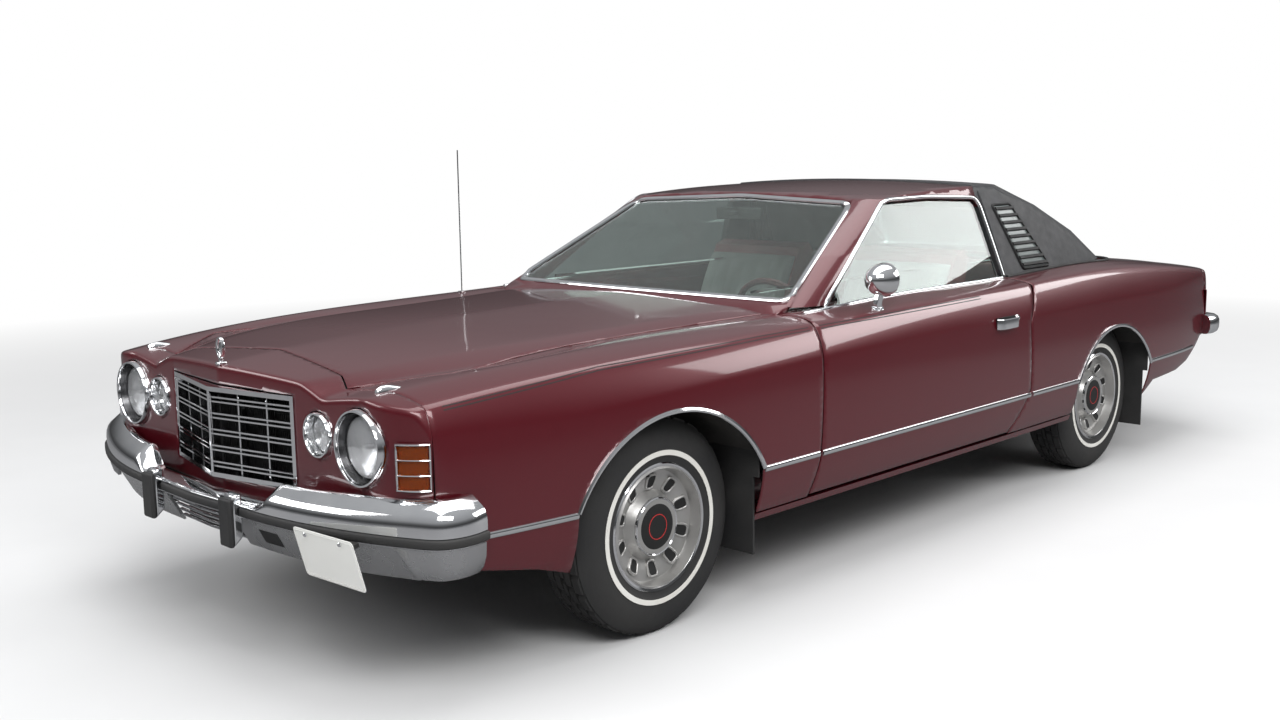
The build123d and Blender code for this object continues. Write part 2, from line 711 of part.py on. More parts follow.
def rear_trim():
    """The side trims, lock pillars, bulkhead and package shelf round the rear seat."""
    outer_y = 712
    inner_y = REAR_WALL_Y - TRIM_BOARD
    plan = [
        (-585, outer_y), (-868, outer_y), (-868, REAR_WALL_Y), (BULKHEAD_X, REAR_WALL_Y),
        (BULKHEAD_X, inner_y), (-868 + TRIM_BOARD, inner_y), (-868 + TRIM_BOARD, outer_y - TRIM_BOARD),
        (-585, outer_y - TRIM_BOARD),
    ]
    above_floor = [(-585, 314), (-756, 314), (-915, 495), (-1340, 495), (-1340, 915), (-585, 915)]
    trim = common(plan_prism(plan, 300, 930), side_prism(above_floor, 600, 800))
    line = [(-598, 925), (-512, 762), (-504, 484), (-437, 400)]
    outline = [*line, *[(x - LOCK_PILLAR, z) for x, z in reversed(line)]]
    pillar = common(side_prism(outline, outer_y - TRIM_BOARD, 940), INSIDE)
    bulkhead = box(BULKHEAD_X - 15, BULKHEAD_X, -10, inner_y, TRUNK_Z + FLOOR, SHELF_Z)
    shelf = box(-1790, BULKHEAD_X, -10, inner_y, SHELF_Z, SHELF_Z + 12)
    return whole(fused(bulkhead, shelf)), both_sides(fused(trim, pillar))


def grille_half():
    """The left half of the grille, flat, before it is swept back from the prow."""
    width = GRILLE_HALF / math.cos(math.radians(GRILLE_SWEEP))
    height = GRILLE_TOP - GRILLE_FOOT
    rim = cut(
        box(-GRILLE_DEPTH, 0, 0, width, 0, height),
        box(-GRILLE_DEPTH - 1, 1, GRILLE_RIM / 2, width - GRILLE_RIM, GRILLE_RIM, height - GRILLE_RIM),
    )
    inside = height - 2 * GRILLE_RIM
    pitch = inside / GRILLE_PAIRS
    bars = []
    for index in range(GRILLE_PAIRS):
        middle = GRILLE_RIM + pitch * (index + 0.5)
        for side in (-1, 1):
            z = middle + side * GRILLE_BAR_SPACE / 2
            bars.append(box(-28, -6, 2, width - 2, z - GRILLE_BAR / 2, z + GRILLE_BAR / 2))
    for index in range(GRILLE_POSTS):
        y = width * (index + 1) / (GRILLE_POSTS + 1)
        bars.append(box(-34, -10, y - 3, y + 3, 2, height - 2))
    return fused(rim, *bars)


def grille():
    """The prow-shaped grille with its rim."""
    half = grille_half().rotate(Axis.Z, GRILLE_SWEEP).moved(Location((GRILLE_PROW_X, 0, GRILLE_FOOT)))
    half = cut(half, box(2000, 3000, -200, 0, 0, 1000))
    half = cut(half, box(2000, 3000, GRILLE_HALF, 500, 0, 1000))
    return whole(half)


def front_lamps():
    """The four round lamps, each a flanged bezel with a domed lens, seated in the nose panel."""
    lamps = []
    for y, z, radius in LAMPS:
        rim = radius - SEAT
        lens = radius * 0.86
        profile = [(0, -30), (rim, -30), (rim, 6), (rim - 8, 6), (lens, -14), (lens * 0.6, -2), (0, 2)]
        lamps.append(turned(profile, (LAMP_X, y, z), (1, 0, 0)))
    return both_sides(Compound(lamps))


def bumper_plan(reach, inset, depth):
    """The left half of a bumper in plan, as a band of the given depth behind its outer line."""
    outer = [(reach + x - inset, max(y - inset, 0)) for x, y in BUMPER_LINE]
    inner = [(reach + x - depth, max(y - depth, 0)) for x, y in BUMPER_LINE]
    inner[-1] = (outer[-1][0], inner[-1][1])
    edges = []
    for row in (outer, inner):
        start, low, middle, end, tail = [(x, y, 0) for x, y in row]
        edges += [
            Edge.make_line(start, low),
            Edge.make_three_point_arc(low, middle, end),
            bowed(end, tail, (1, 1, 0), BUMPER_CORNER_BULGE),
        ]
    edges.append(Edge.make_line((*outer[0], 0), (*inner[0], 0)))
    edges.append(Edge.make_line((*outer[-1], 0), (*inner[-1], 0)))
    return Face(Wire.combine(edges)[0])


def bumper_core(reach):
    """The room inside the left half of a bumper, up to the seat clearance behind its wall."""
    face = bumper_plan(reach, BUMPER_WALL + SEAT, BUMPER_DEPTH + 60)
    return Solid.extrude(face, Vector(0, 0, 900))


def bumper_block(reach, inset):
    """The full height block within a bumper's outer line."""
    return Solid.extrude(bumper_plan(reach, inset, BUMPER_DEPTH), Vector(0, 0, 900))


def bumper(reach, profile, clear):
    """One bumper: a band behind its outer line, cut to its end view, hollowed and clear of the body."""
    core = Solid.extrude(bumper_plan(reach, BUMPER_WALL, BUMPER_DEPTH + 60), Vector(0, 0, 900))
    bar = common(bumper_block(reach, 0), end_prism(profile, 2000, 3000))
    inside = common(core, end_prism(lowered(profile), 1900, 3100))
    return whole(cut(bar, inside, clear))


def lowered(profile):
    """An end view drawn down from its upper edge and open below, for the hollow of a bumper."""
    upper = [(y, z - BUMPER_LIP) for y, z in profile if z > 515]
    return [(-20, upper[0][1]), *upper[1:], (upper[-1][0], 200), (-20, 200)]


def front_bumper():
    """The chrome bar across the nose, which rises under the lamps and wraps round the corners."""
    return bumper(FRONT_BUMPER_X, FRONT_BUMPER_PROFILE, BUMPER_CLEAR)


def rear_bumper():
    """The chrome bar across the tail."""
    bar = bumper(-REAR_BUMPER_X, REAR_BUMPER_PROFILE, BUMPER_CLEAR.mirror(Plane.YZ))
    return bar.mirror(Plane.YZ)


def valance():
    """The panel under the front bumper, leaning back, with its air slots."""
    sections = []
    for inset, z in ((VALANCE_TOP[0], VALANCE_TOP[1] - SEAT), VALANCE_FOOT):
        rim = bumper_plan(FRONT_BUMPER_X, inset, inset + BUMPER_WALL).outer_wire()
        sections.append(rim.moved(Location((0, 0, z))))
    half = Solid.make_loft(sections, True)
    slots = []
    for first_y, pitch, width, z_low, z_high in VALANCE_SLOTS:
        for index in range(3):
            y = first_y + pitch * index
            slots.append(box(2300, 2800, y, y + width, z_low, z_high))
    lobe = [(y - SEAM, z) for y, z in (BUMPER_LOBE[1], BUMPER_LOBE[0])]
    end = [(lobe[0][0], 490), *lobe, (lobe[1][0], 300), (1200, 300), (1200, 490)]
    half = cut(half, *slots, end_prism(end, 2000, 3000), BUMPER_CLEAR)
    return whole(half)


def bumper_guards():
    """The upright guards on both bumpers."""
    front = cut(box(2690, OVERALL_HALF, *GUARD_Y, *FRONT_GUARD_Z), bumper_block(FRONT_BUMPER_X, -SEAT))
    rear = cut(box(-OVERALL_HALF, -2690, *GUARD_Y, *REAR_GUARD_Z),
               bumper_block(-REAR_BUMPER_X, -SEAT).mirror(Plane.YZ))
    return both_sides(Compound([front, rear]))


def bumper_strip():
    """The black strip along the front bumper."""
    z_low, z_high, proud = STRIP
    face = bumper_plan(FRONT_BUMPER_X + proud, 0, BUMPER_DEPTH / 2)
    band = Solid.extrude(face.moved(Location((0, 0, z_low))), Vector(0, 0, z_high - z_low))
    guard = box(2600, 2800, GUARD_Y[0] - SEAT, GUARD_Y[1] + SEAT, 400, 600)
    band = cut(band, bumper_block(FRONT_BUMPER_X, 0), guard)
    middle = common(band, box(2600, 2800, -10, GUARD_Y[0], 400, 600))
    outer = common(band, box(2000, 2800, GUARD_Y[1], 1000, 400, 600))
    return Compound([whole(middle), *both_sides(outer).solids()])


def side_markers():
    """The front side marker lamps."""
    bounds = box(*MARKER_X, 700, 1000, *MARKER_Z)
    return both_sides(common(cut(body_form(-MARKER_PROUD), OUTER), bounds))


def mud_flaps():
    """The flaps behind the four wheels."""
    flaps = []
    for axle_x, arch, z_low, z_high in MUD_FLAPS:
        x = axle_x - arch[0] + SEAT
        flaps.append(box(x, x + 8, 722, 935, z_low, z_high))
    return both_sides(Compound(flaps))


def tyre(axle_x):
    """The left tyre at one axle."""
    half = TYRE_WIDTH / 2
    wall = TYRE_RADIUS - 70
    profile = [
        (RIM_RADIUS, 10 - half), (wall, -half), (TYRE_RADIUS, 30 - half),
        (TYRE_RADIUS, half - 30), (wall, half), (RIM_RADIUS, half - 10),
    ]
    return turned(profile, (axle_x, WHEEL_Y, AXLE_Z))


def rim(axle_x):
    """The left slotted steel wheel at one axle, with its raised centre cap."""
    half = RIM_WIDTH / 2
    face = HUB_FACE_Y - WHEEL_Y
    profile = [
        (0, face), (80, face), (150, face + 34), (RIM_BARREL, face + 26), (RIM_BARREL, -half),
        (RIM_RADIUS, -half), (RIM_RADIUS, half), (RIM_RADIUS - 10, half + 8), (RIM_BARREL + 2, face + 44),
        (150, face + 44), (110, face + 30), (86, face + 66), (0, face + 68),
    ]
    solid = turned(profile, (axle_x, WHEEL_Y, AXLE_Z))
    slot = box(-13, 13, 750, 950, 120, 152)
    slots = [
        slot.rotate(Axis.Y, 360 / RIM_SLOTS * index).moved(Location((axle_x, 0, AXLE_Z)))
        for index in range(RIM_SLOTS)
    ]
    return cut(solid, *slots)


def knuckle():
    """The left steering knuckle with its kingpin, backing plate and hub flange."""
    x = FRONT_AXLE_X
    clear_z = (ARM_Z[1] + ARM_AIR, UPPER_ARM_Z[0] - ARM_AIR)
    return fused(
        box(x - 22, x + 22, 716, 768, ARM_Z[1] + SEAT, UPPER_ARM_Z[0] - SEAT),
        cylinder((x, KINGPIN_Y, 210), (0, 0, 1), KINGPIN_RADIUS, 260),
        common(
            cylinder((x, 766, AXLE_Z), (0, 1, 0), BACKING_RADIUS, 8),
            box(x - BACKING_RADIUS, x + BACKING_RADIUS, 700, 800, *clear_z),
        ),
        cylinder((x, 760, AXLE_Z), (0, 1, 0), 74, HUB_FACE_Y - SEAT - 760),
        box(x - 150, x + 10, 700, 724, 300, 322),
    )


def suspension():
    """The front crossmember with its lower arms and engine mounts, and the upper arms."""
    x = FRONT_AXLE_X
    bore = cylinder((x, KINGPIN_Y, 150), (0, 0, 1), KINGPIN_RADIUS + SEAT, 400)
    member = fused(
        box(x - 80, x + 80, -10, 470, 215, 300),
        box(x - 80, x + 80, *RAIL_Y, 300, RAIL_Z[0]),
        box(x - 40, x + 40, 170, 230, 300, ENGINE[3]),
        plan_prism([(x - 70, 460), (x + 70, 460), (x + 24, 762), (x - 24, 762)], *ARM_Z),
    )
    wall_y = APRON_Y + LINER
    upper = plan_prism([(x - 90, wall_y), (x + 90, wall_y), (x + 24, 762), (x - 24, 762)], *UPPER_ARM_Z)
    upper = cut(upper, plan_prism([(x - 50, 510), (x + 50, 510), (x, 650)], 400, 500))
    member = whole(cut(member, bore))
    return Compound([*member.solids(), *both_sides(cut(upper, bore)).solids()])


def engine():
    """The engine as one block, with the radiator and its support panel ahead of it."""
    x_low, x_high, half, z_low, z_high = ENGINE
    block = box(x_low, x_high, -half, half, z_low, z_high)
    upper = [edge for edge in block.edges() if edge.center().Z > z_high - 1]
    block = block.chamfer(70, None, upper)
    radiator = fused(
        box(RADIATOR_X[0], RADIATOR_X[1], -340, 340, 420, 820),
        box(RADIATOR_X[1], RADIATOR_X[1] + 12, -APRON_Y, APRON_Y, RAIL_Z[1], 840),
    )
    return Compound([block, *radiator.solids()])


def driveline():
    """The gearbox, the propeller shaft and the live rear axle on its two leaf springs."""
    flange_x = ENGINE[0]
    gearbox = Solid.make_cone(150, 95, 600, Plane((flange_x, 0, SHAFT_Z), z_dir=(-1, 0, 0)))
    gearbox = cut(gearbox, box(0, flange_x, -300, 300, 430, 800))
    shaft = cylinder((GEARBOX_END_X, 0, SHAFT_Z), (-1, 0, 0), 38, GEARBOX_END_X - REAR_AXLE_X)
    axle = cylinder((REAR_AXLE_X, -WHEEL_Y + 60, AXLE_Z), (0, 1, 0), 40, 2 * WHEEL_Y - 120)
    case = [(0, -118), (60, -118), (112, -60), (112, 60), (60, 118), (0, 118)]
    pumpkin = turned(case, (REAR_AXLE_X, 0, AXLE_Z), (1, 0, 0))
    parts = [gearbox, shaft, axle, pumpkin]
    lower = [(x, z - SPRING_DEPTH) for x, z in SPRING]
    for side in (-1, 1):
        hub = (REAR_AXLE_X, side * DRUM_Y, AXLE_Z)
        parts.append(cylinder(hub, (0, side, 0), 138, 66))
        parts.append(cylinder(hub, (0, side, 0), 74, HUB_FACE_Y - SEAT - DRUM_Y))
        y_low = side * SPRING_Y - SPRING_WIDTH / 2
        y_high = y_low + SPRING_WIDTH
        parts.append(side_prism([*SPRING, *reversed(lower)], y_low, y_high))
        parts.append(box(REAR_AXLE_X - 60, REAR_AXLE_X + 60, y_low - 2, y_high + 2, 270, 345))
        parts.append(box(-2040, -2010, y_low, y_high, 360, TRUNK_Z))
        parts.append(box(-740, -700, y_low, y_high, 270, FLOOR_Z - SEAT))
    return fused(*parts)


def exhaust():
    """The exhaust pipe with its muffler, hung from the floor."""
    path = Polyline(
        (1168, -232, 345), (1000, -250, 266), (-250, -330, 262), (-1450, -330, 246), (-1780, -385, 330),
        (-2640, -385, 330),
    )
    start = Plane(path @ 0, z_dir=path % 0)
    pipe = sweep(start * Circle(PIPE_RADIUS), path=path, transition=Transition.RIGHT)
    muffler = box(*MUFFLER)
    muffler = muffler.chamfer(25, None, [edge for edge in muffler.edges() if edge.length > 400])
    hangers = [
        box(-560, -540, -340, -320, 280, FLOOR_Z),
        box(-2300, -2280, -395, -375, 340, TRUNK_Z),
    ]
    return fused(muffler, *pipe.solids(), *hangers)


def fuel_tank():
    """The fuel tank under the trunk floor."""
    tank = box(*TANK, TRUNK_Z)
    return tank.fillet(30, [edge for edge in tank.edges() if edge.center().Z < TANK[-1] + 10])


def dashboard():
    """The dashboard across the cabin, with the steering column."""
    panel = side_prism(DASH, -DASH_HALF, DASH_HALF)
    x, y, z = STEERING_WHEEL
    tilt = math.radians(STEERING_WHEEL_TILT)
    back = (-math.cos(tilt), 0, math.sin(tilt))
    start = (x - back[0] * COLUMN_LENGTH, y, z - back[2] * COLUMN_LENGTH)
    column = cylinder(start, back, 32, COLUMN_LENGTH - STEERING_HUB - SEAT)
    return fused(panel, column)


def steering_wheel():
    """The steering wheel: a round rim, three spokes and a hub."""
    section = [
        (STEERING_WHEEL_RADIUS + STEERING_RIM * math.cos(angle), STEERING_RIM * math.sin(angle))
        for angle in (math.radians(step) for step in range(30, 390, 60))
    ]
    ring = turned(section, (0, 0, 0), (0, 0, 1))
    low = -STEERING_HUB
    hub = turned([(0, low), (52, low), (52, 16), (40, 26), (0, 26)], (0, 0, 0), (0, 0, 1))
    spokes = [
        box(20, STEERING_WHEEL_RADIUS, -15, 15, -5, 5).rotate(Axis.Z, angle) for angle in (-12, 90, 192)
    ]
    wheel = fused(ring, hub, *spokes)
    tilt = math.radians(STEERING_WHEEL_TILT)
    plane = Plane(STEERING_WHEEL, x_dir=(0, 1, 0), z_dir=(-math.cos(tilt), 0, math.sin(tilt)))
    return wheel.moved(plane.location)


def front_seats():
    """The pair of front seats."""
    return both_sides(side_prism(FRONT_SEAT, *FRONT_SEAT_Y))


def rear_seat():
    """The bench at the back."""
    return side_prism(REAR_SEAT, -REAR_SEAT_HALF, REAR_SEAT_HALF)


def door_mirror():
    """The mirror on the left door."""
    x, y, z = MIRROR
    head = Solid.make_cone(38, 62, 95, Plane(MIRROR, z_dir=(-1, 0, 0)))
    foot = box(x - 70, x - 20, y - 15, y + 10, 900, z - 20)
    return cut(fused(head, foot), OUTER)


def antenna():
    """The whip antenna on the right fender."""
    x, y, base_z = ANTENNA
    whip = fused(
        cylinder((x, y, base_z), (0, 0, 1), 16, 24),
        cylinder((x, y, base_z + 20), (0, 0, 1), 2.5, ANTENNA_TIP_Z - base_z - 20),
    )
    return cut(whip, mirrored(OUTER))


def main():
    """Build every piece and write each to its own file."""
    roof_panel, landau_roof = roof_pieces()
    pieces = {
        "underbody": underbody(),
        "chassis_rails": chassis_rails(),
        "cowl": cowl(),
        "wheelhouses": wheelhouses(),
        "rocker_panels": rocker_panels(),
        "nose_panel": nose_panel(),
        "tail_panel": tail_panel(),
        "deck_filler": deck_filler(),
        "roof_panel": roof_panel,
        "landau_roof": landau_roof,
        "windshield": fixed_glass(WINDSHIELD, 150, 1000),
        "rear_window": fixed_glass(REAR_GLASS, -2000, -1230),
        "grille": grille(),
        "front_lamps": front_lamps(),
        "tail_lamps": tail_lamps(),
        "side_markers": side_markers(),
        "front_bumper": front_bumper(),
        "rear_bumper": rear_bumper(),
        "front_valance": valance(),
        "bumper_guards": bumper_guards(),
        "bumper_strip": bumper_strip(),
        "engine": engine(),
        "suspension": suspension(),
        "driveline": driveline(),
        "exhaust": exhaust(),
        "fuel_tank": fuel_tank(),
        "dashboard": dashboard(),
        "front_seats": front_seats(),
        "rear_seat": rear_seat(),
        "mud_flaps": mud_flaps(),
        "antenna": antenna(),
        "steering_wheel": steering_wheel(),
        "gutters": gutters(),
        "hood": hood(),
        "deck_lid": deck_lid(),
        "door_mirror": door_mirror(),
    }
    shelf, trims = rear_trim()
    pieces["package_shelf"] = shelf
    pieces["rear_trims"] = trims
    left_pieces = {"fender": fender(), "quarter": quarter(), "door": door(), "door_glass": door_glass(),
                   "knuckle": knuckle()}
    for end, axle_x in (("front", FRONT_AXLE_X), ("rear", REAR_AXLE_X)):
        left_pieces[f"tyre_{end}"] = tyre(axle_x)
        left_pieces[f"rim_{end}"] = rim(axle_x)
    for name, piece in left_pieces.items():
        pieces[f"{name}_left"] = piece
        pieces[f"{name}_right"] = mirrored(piece)
    os.makedirs("parts", exist_ok=True)
    for name, piece in pieces.items():
        export_step(piece, f"parts/{name}.step")


main()
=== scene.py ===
import json
import math

import bmesh
import bpy
import numpy as np
from mathutils import Matrix, Vector
from mathutils.bvhtree import BVHTree
from mathutils.geometry import delaunay_2d_cdt

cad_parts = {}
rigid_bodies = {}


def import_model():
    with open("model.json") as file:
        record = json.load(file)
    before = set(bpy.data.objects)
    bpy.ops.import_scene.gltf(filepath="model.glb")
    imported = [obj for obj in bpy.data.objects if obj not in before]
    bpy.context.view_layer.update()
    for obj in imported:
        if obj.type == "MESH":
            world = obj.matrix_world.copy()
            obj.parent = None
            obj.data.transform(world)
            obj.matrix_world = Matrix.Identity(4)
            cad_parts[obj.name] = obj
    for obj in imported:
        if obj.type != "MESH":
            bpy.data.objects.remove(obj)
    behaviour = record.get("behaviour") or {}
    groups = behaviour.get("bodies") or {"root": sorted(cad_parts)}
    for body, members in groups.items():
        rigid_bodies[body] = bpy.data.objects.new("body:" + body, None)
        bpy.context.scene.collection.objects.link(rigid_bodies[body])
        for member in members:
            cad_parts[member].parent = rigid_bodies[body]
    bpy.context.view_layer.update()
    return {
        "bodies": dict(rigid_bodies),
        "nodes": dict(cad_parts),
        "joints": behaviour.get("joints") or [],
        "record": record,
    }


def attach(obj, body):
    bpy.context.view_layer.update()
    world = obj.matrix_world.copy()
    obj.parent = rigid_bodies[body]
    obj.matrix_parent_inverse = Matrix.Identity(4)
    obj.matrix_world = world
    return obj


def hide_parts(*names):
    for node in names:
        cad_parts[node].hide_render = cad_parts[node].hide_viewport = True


# Looks of a 1970s two-door hardtop coupe. Lengths are millimetres in the part's frame:
# +X the nose, +Y the car's left side, +Z up, Z = 0 the ground.

MM = 0.001

# The axles and wheels, as in the part
FRONT_AXLE_X = 1643
REAR_AXLE_X = -1278
AXLE_Z = 340
WHEEL_Y = 786
TYRE_RADIUS = 340
TYRE_HALF = 100
RIM_RADIUS = 193

# The belt of mouldings along the side
TRIM_Z = 467
TRIM_HEIGHT = 20
FRONT_ARCH = (385, 473, 708)
REAR_ARCH = (370, 459, 667)

# The lower body's sections, as in the part, one row for each from tail to nose: x, half width at
# the trim line, crease z, then y and z of shoulder, ridge, valley and bead, and the centre z
SECTIONS = [
    (-2690, 858, 725, 842, 808, 772, 823, 700, 828, 540, 834, 840),
    (-2200, 938, 745, 897, 862, 817, 878, 735, 884, 560, 892, 898),
    (-1278, 974, 782, 915, 918, 860, 936, 800, 946, 600, 950, 952),
    (-500, 977, 780, 920, 908, 857, 925, 792, 932, 600, 938, 942),
    (300, 977, 789, 925, 900, 856, 920, 785, 930, 600, 938, 945),
    (1000, 976, 786, 912, 892, 795, 911, 690, 905, 566, 926, 945),
    (1643, 964, 766, 898, 880, 760, 904, 640, 893, 535, 913, 930),
    (2100, 925, 745, 872, 860, 738, 885, 655, 873, 500, 898, 911),
    (2480, 870, 738, 828, 826, 690, 851, 505, 836, 400, 863, 884),
    (2690, 830, 730, 785, 800, 650, 824, 440, 776, 350, 842, 860),
]
ROCKER_TUCK = 45
CREASE_TUCK = 14
ROCKER_Z = 290
SECTION_BULGES = (8, 4, 6, 3, 2, 2, 2)
SECTION_ROWS = (6, 12, 10, 10, 10, 8, 14)
EDGE_SOFTNESS = 10

# The ends in plan, as (x, y): the wall's line from the centre, then an arc round each corner
NOSE_LINE = [(2600, 0), (2562, 345), (2548, 650)]
NOSE_CORNER = [(2548, 650), (2528, 790), (2425, 886)]
TAIL_LINE = [(-2612, 0), (-2576, 690)]
TAIL_CORNER = [(-2576, 690), (-2552, 826), (-2447, 908)]

# Panel lines, as in the part: side views are (x, z), plans are (x, y)
GAP = 7
SEAM = 1.2
PANEL = 5
HOOD_FRONT = [(2390, 0), (2452, 416), (2487, 494)]
HOOD_SIDE = [(2249, 667), (1801, 637), (905, 692)]
DOOR_CUT = [(824, 945), (920, 897), (960, 444), (990, 320), (-352, 320), (-481, 484), (-489, 762),
            (-575, 930), (-575, 945)]
DOOR_BELT_Y = 790
NOSE_CUT_X = 2470
TAIL_CUT_X = -2470
DECK_FRONT_X = -1885
DECK_REAR_X = -2550
DECK_HALF = 665
TRUNK_HALF = 640
SPLASH_TOP = 590
SPLASH_INSET = 18
SILL_Z = 320
PILLAR_CUT_Z = 945
PILLAR_FOOT_Z = 928
CABIN_FOOT = [(-552, 782), (-1440, 782), (-1632, 723), (-1737, 665)]
FILLER_FOOT = [(-1737, 665), (-1785, 590), (-1828, 0)]
TAIL_LAMP_Y = (560, 800)
TAIL_LAMP_Z = (640, 770)

# Bumpers, guards, mirror and the hanging plate
FRONT_BUMPER_X = 2708
REAR_BUMPER_X = -2712
BUMPER_LINE = [(0, 0), (-12, 250), (-78, 690), (-178, 942), (-330, 958)]
GUARD_Y = (201, 263)
MIRROR = (560, 895, 1010)
PLATE_PLACE = (2680, 678, 440)
PLATE_PITCH = 14
PLATE_ROLL = 2

# Grille and lamps
GRILLE_PROW_X = 2636
GRILLE_SWEEP = 12
GRILLE_HALF = 345
GRILLE_FOOT = 542
GRILLE_TOP = 812
LAMP_X = 2552
OUTER_LAMP = (650, 707, 107)
INNER_LAMP = (458, 717, 66)

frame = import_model()
NODES = frame["nodes"]
SLOT_OF = {part["node"]: part["material_slot"] for part in frame["record"]["subparts"]}
BODY_OF = {node: body for body, nodes in frame["record"]["behaviour"]["bodies"].items() for node in nodes}


# Shapes: points in millimetres with the faces between them


class Shape:
    """Points and faces of one piece while it is being made."""

    def __init__(self, points=(), faces=()):
        self.points = [tuple(point) for point in points]
        self.faces = [tuple(face) for face in faces]

    def add(self, other):
        start = len(self.points)
        self.points += other.points
        self.faces += [tuple(index + start for index in face) for face in other.faces]
        return self

    def mapped(self, change):
        """The same faces on points changed one by one."""
        return Shape([change(*point) for point in self.points], self.faces)

    def moved(self, x, y, z):
        return self.mapped(lambda px, py, pz: (px + x, py + y, pz + z))

    def mirrored(self):
        """The twin on the car's other side."""
        return Shape([(x, -y, z) for x, y, z in self.points], [face[::-1] for face in self.faces])

    def turned(self, axis, degrees):
        turn = Matrix.Rotation(math.radians(degrees), 3, axis)
        return self.mapped(lambda px, py, pz: tuple(turn @ Vector((px, py, pz))))


def joined(shapes):
    whole = Shape()
    for shape in shapes:
        whole.add(shape)
    return whole


def block(low, high):
    """A box between two corners."""
    (x0, y0, z0), (x1, y1, z1) = low, high
    points = [(x, y, z) for x in (x0, x1) for y in (y0, y1) for z in (z0, z1)]
    faces = [(0, 1, 3, 2), (4, 6, 7, 5), (0, 4, 5, 1), (2, 3, 7, 6), (0, 2, 6, 4), (1, 5, 7, 3)]
    return Shape(points, faces)


def lathe(profile, centre, direction=(0, 1, 0), steps=96, closed=True):
    """A profile of (radius, distance along the axis) turned about an axis through centre."""
    axis = Vector(direction).normalized()
    side = axis.orthogonal().normalized()
    up = axis.cross(side)
    points = []
    for step in range(steps):
        angle = 2 * math.pi * step / steps
        spoke = side * math.cos(angle) + up * math.sin(angle)
        points += [tuple(Vector(centre) + spoke * radius + axis * along) for radius, along in profile]
    count = len(profile)
    faces = []
    for step in range(steps):
        here, there = step * count, (step + 1) % steps * count
        for index in range(count if closed else count - 1):
            after = (index + 1) % count
            faces.append((here + index, here + after, there + after, there + index))
    return Shape(points, faces)


def swept(path, normals, profile, loop=False):
    """A closed profile of (across, outwards) carried along a path that lies on a surface."""
    path = [Vector(point) for point in path]
    count = len(profile)
    points = []
    for index, point in enumerate(path):
        before = path[index - 1] if index or loop else point
        after = path[(index + 1) % len(path)] if index < len(path) - 1 or loop else point
        tangent = (after - before).normalized()
        out = Vector(normals[index])
        out = (out - tangent * out.dot(tangent)).normalized()
        across = tangent.cross(out)
        points += [tuple(point + across * a + out * b) for a, b in profile]
    faces = []
    spans = len(path) if loop else len(path) - 1
    for index in range(spans):
        here, there = index * count, (index + 1) % len(path) * count
        for corner in range(count):
            after = (corner + 1) % count
            faces.append((here + corner, there + corner, there + after, here + after))
    if not loop:
        faces.append(tuple(range(count))[::-1])
        last = (len(path) - 1) * count
        faces.append(tuple(range(last, last + count)))
    return Shape(points, faces)


def round_profile(width, height, steps=6):
    """A half-round moulding section, flat side on the surface and slightly sunk into it."""
    arc = [
        (width / 2 * math.cos(math.pi * step / steps), height * math.sin(math.pi * step / steps))
        for step in range(steps + 1)
    ]
    return [(width / 2, -2), *arc, (-width / 2, -2)]


def tube(path, radius, sides=10, loop=False):
    """A round bar along a path."""
    up = Vector((0.02, 0.05, 1)).normalized()
    circle = [
        (radius * math.cos(2 * math.pi * step / sides), radius * math.sin(2 * math.pi * step / sides))
        for step in range(sides)
    ]
    return swept(path, [up] * len(path), circle, loop)


def arc(centre, radius, start, end, steps, plane="xz"):
    """Points of an arc in the side plane."""
    (cx, cz) = centre
    turn = [math.radians(start + (end - start) * step / steps) for step in range(steps + 1)]
    return [(cx + radius * math.cos(a), cz + radius * math.sin(a)) for a in turn]


def resampled(points, spacing):
    """Points at an even spacing along a polyline."""
    points = [np.array(point, float) for point in points]
    made = [points[0]]
    for start, end in zip(points[:-1], points[1:]):
        steps = max(1, round(np.linalg.norm(end - start) / spacing))
        made += [start + (end - start) * step / steps for step in range(1, steps + 1)]
    return [tuple(point) for point in made]


def rounded(points, rounds=2, loop=False):
    """A polyline with its corners cut again and again, which rounds them."""
    for _ in range(rounds):
        points = [np.array(point, float) for point in points]
        pairs = list(zip(points, points[1:] + points[:1])) if loop else list(zip(points[:-1], points[1:]))
        cut = []
        for start, end in pairs:
            cut += [start * 0.75 + end * 0.25, start * 0.25 + end * 0.75]
        points = cut if loop else [points[0], *cut[1:-1], points[-1]]
    return [tuple(point) for point in points]


def softcornered(points, reach, loop=False):
    """A polyline whose corners are rounded over a reach along each side."""
    points = [np.array(point, float) for point in points]
    made = [] if loop else [points[0]]
    places = range(len(points)) if loop else range(1, len(points) - 1)
    for k in places:
        corner, before, after = points[k], points[k - 1], points[(k + 1) % len(points)]
        sides = []
        for other in (before, after):
            length = np.linalg.norm(other - corner)
            sides.append(corner + (other - corner) / length * min(reach, length * 0.45))
        for t in np.linspace(0, 1, 8):
            made.append(sides[0] * (1 - t) ** 2 + corner * 2 * t * (1 - t) + sides[1] * t**2)
    if not loop:
        made.append(points[-1])
    return [tuple(point) for point in made]


def smoothstep(value, low, high):
    part = min(max((value - low) / (high - low), 0), 1)
    return part * part * (3 - 2 * part)


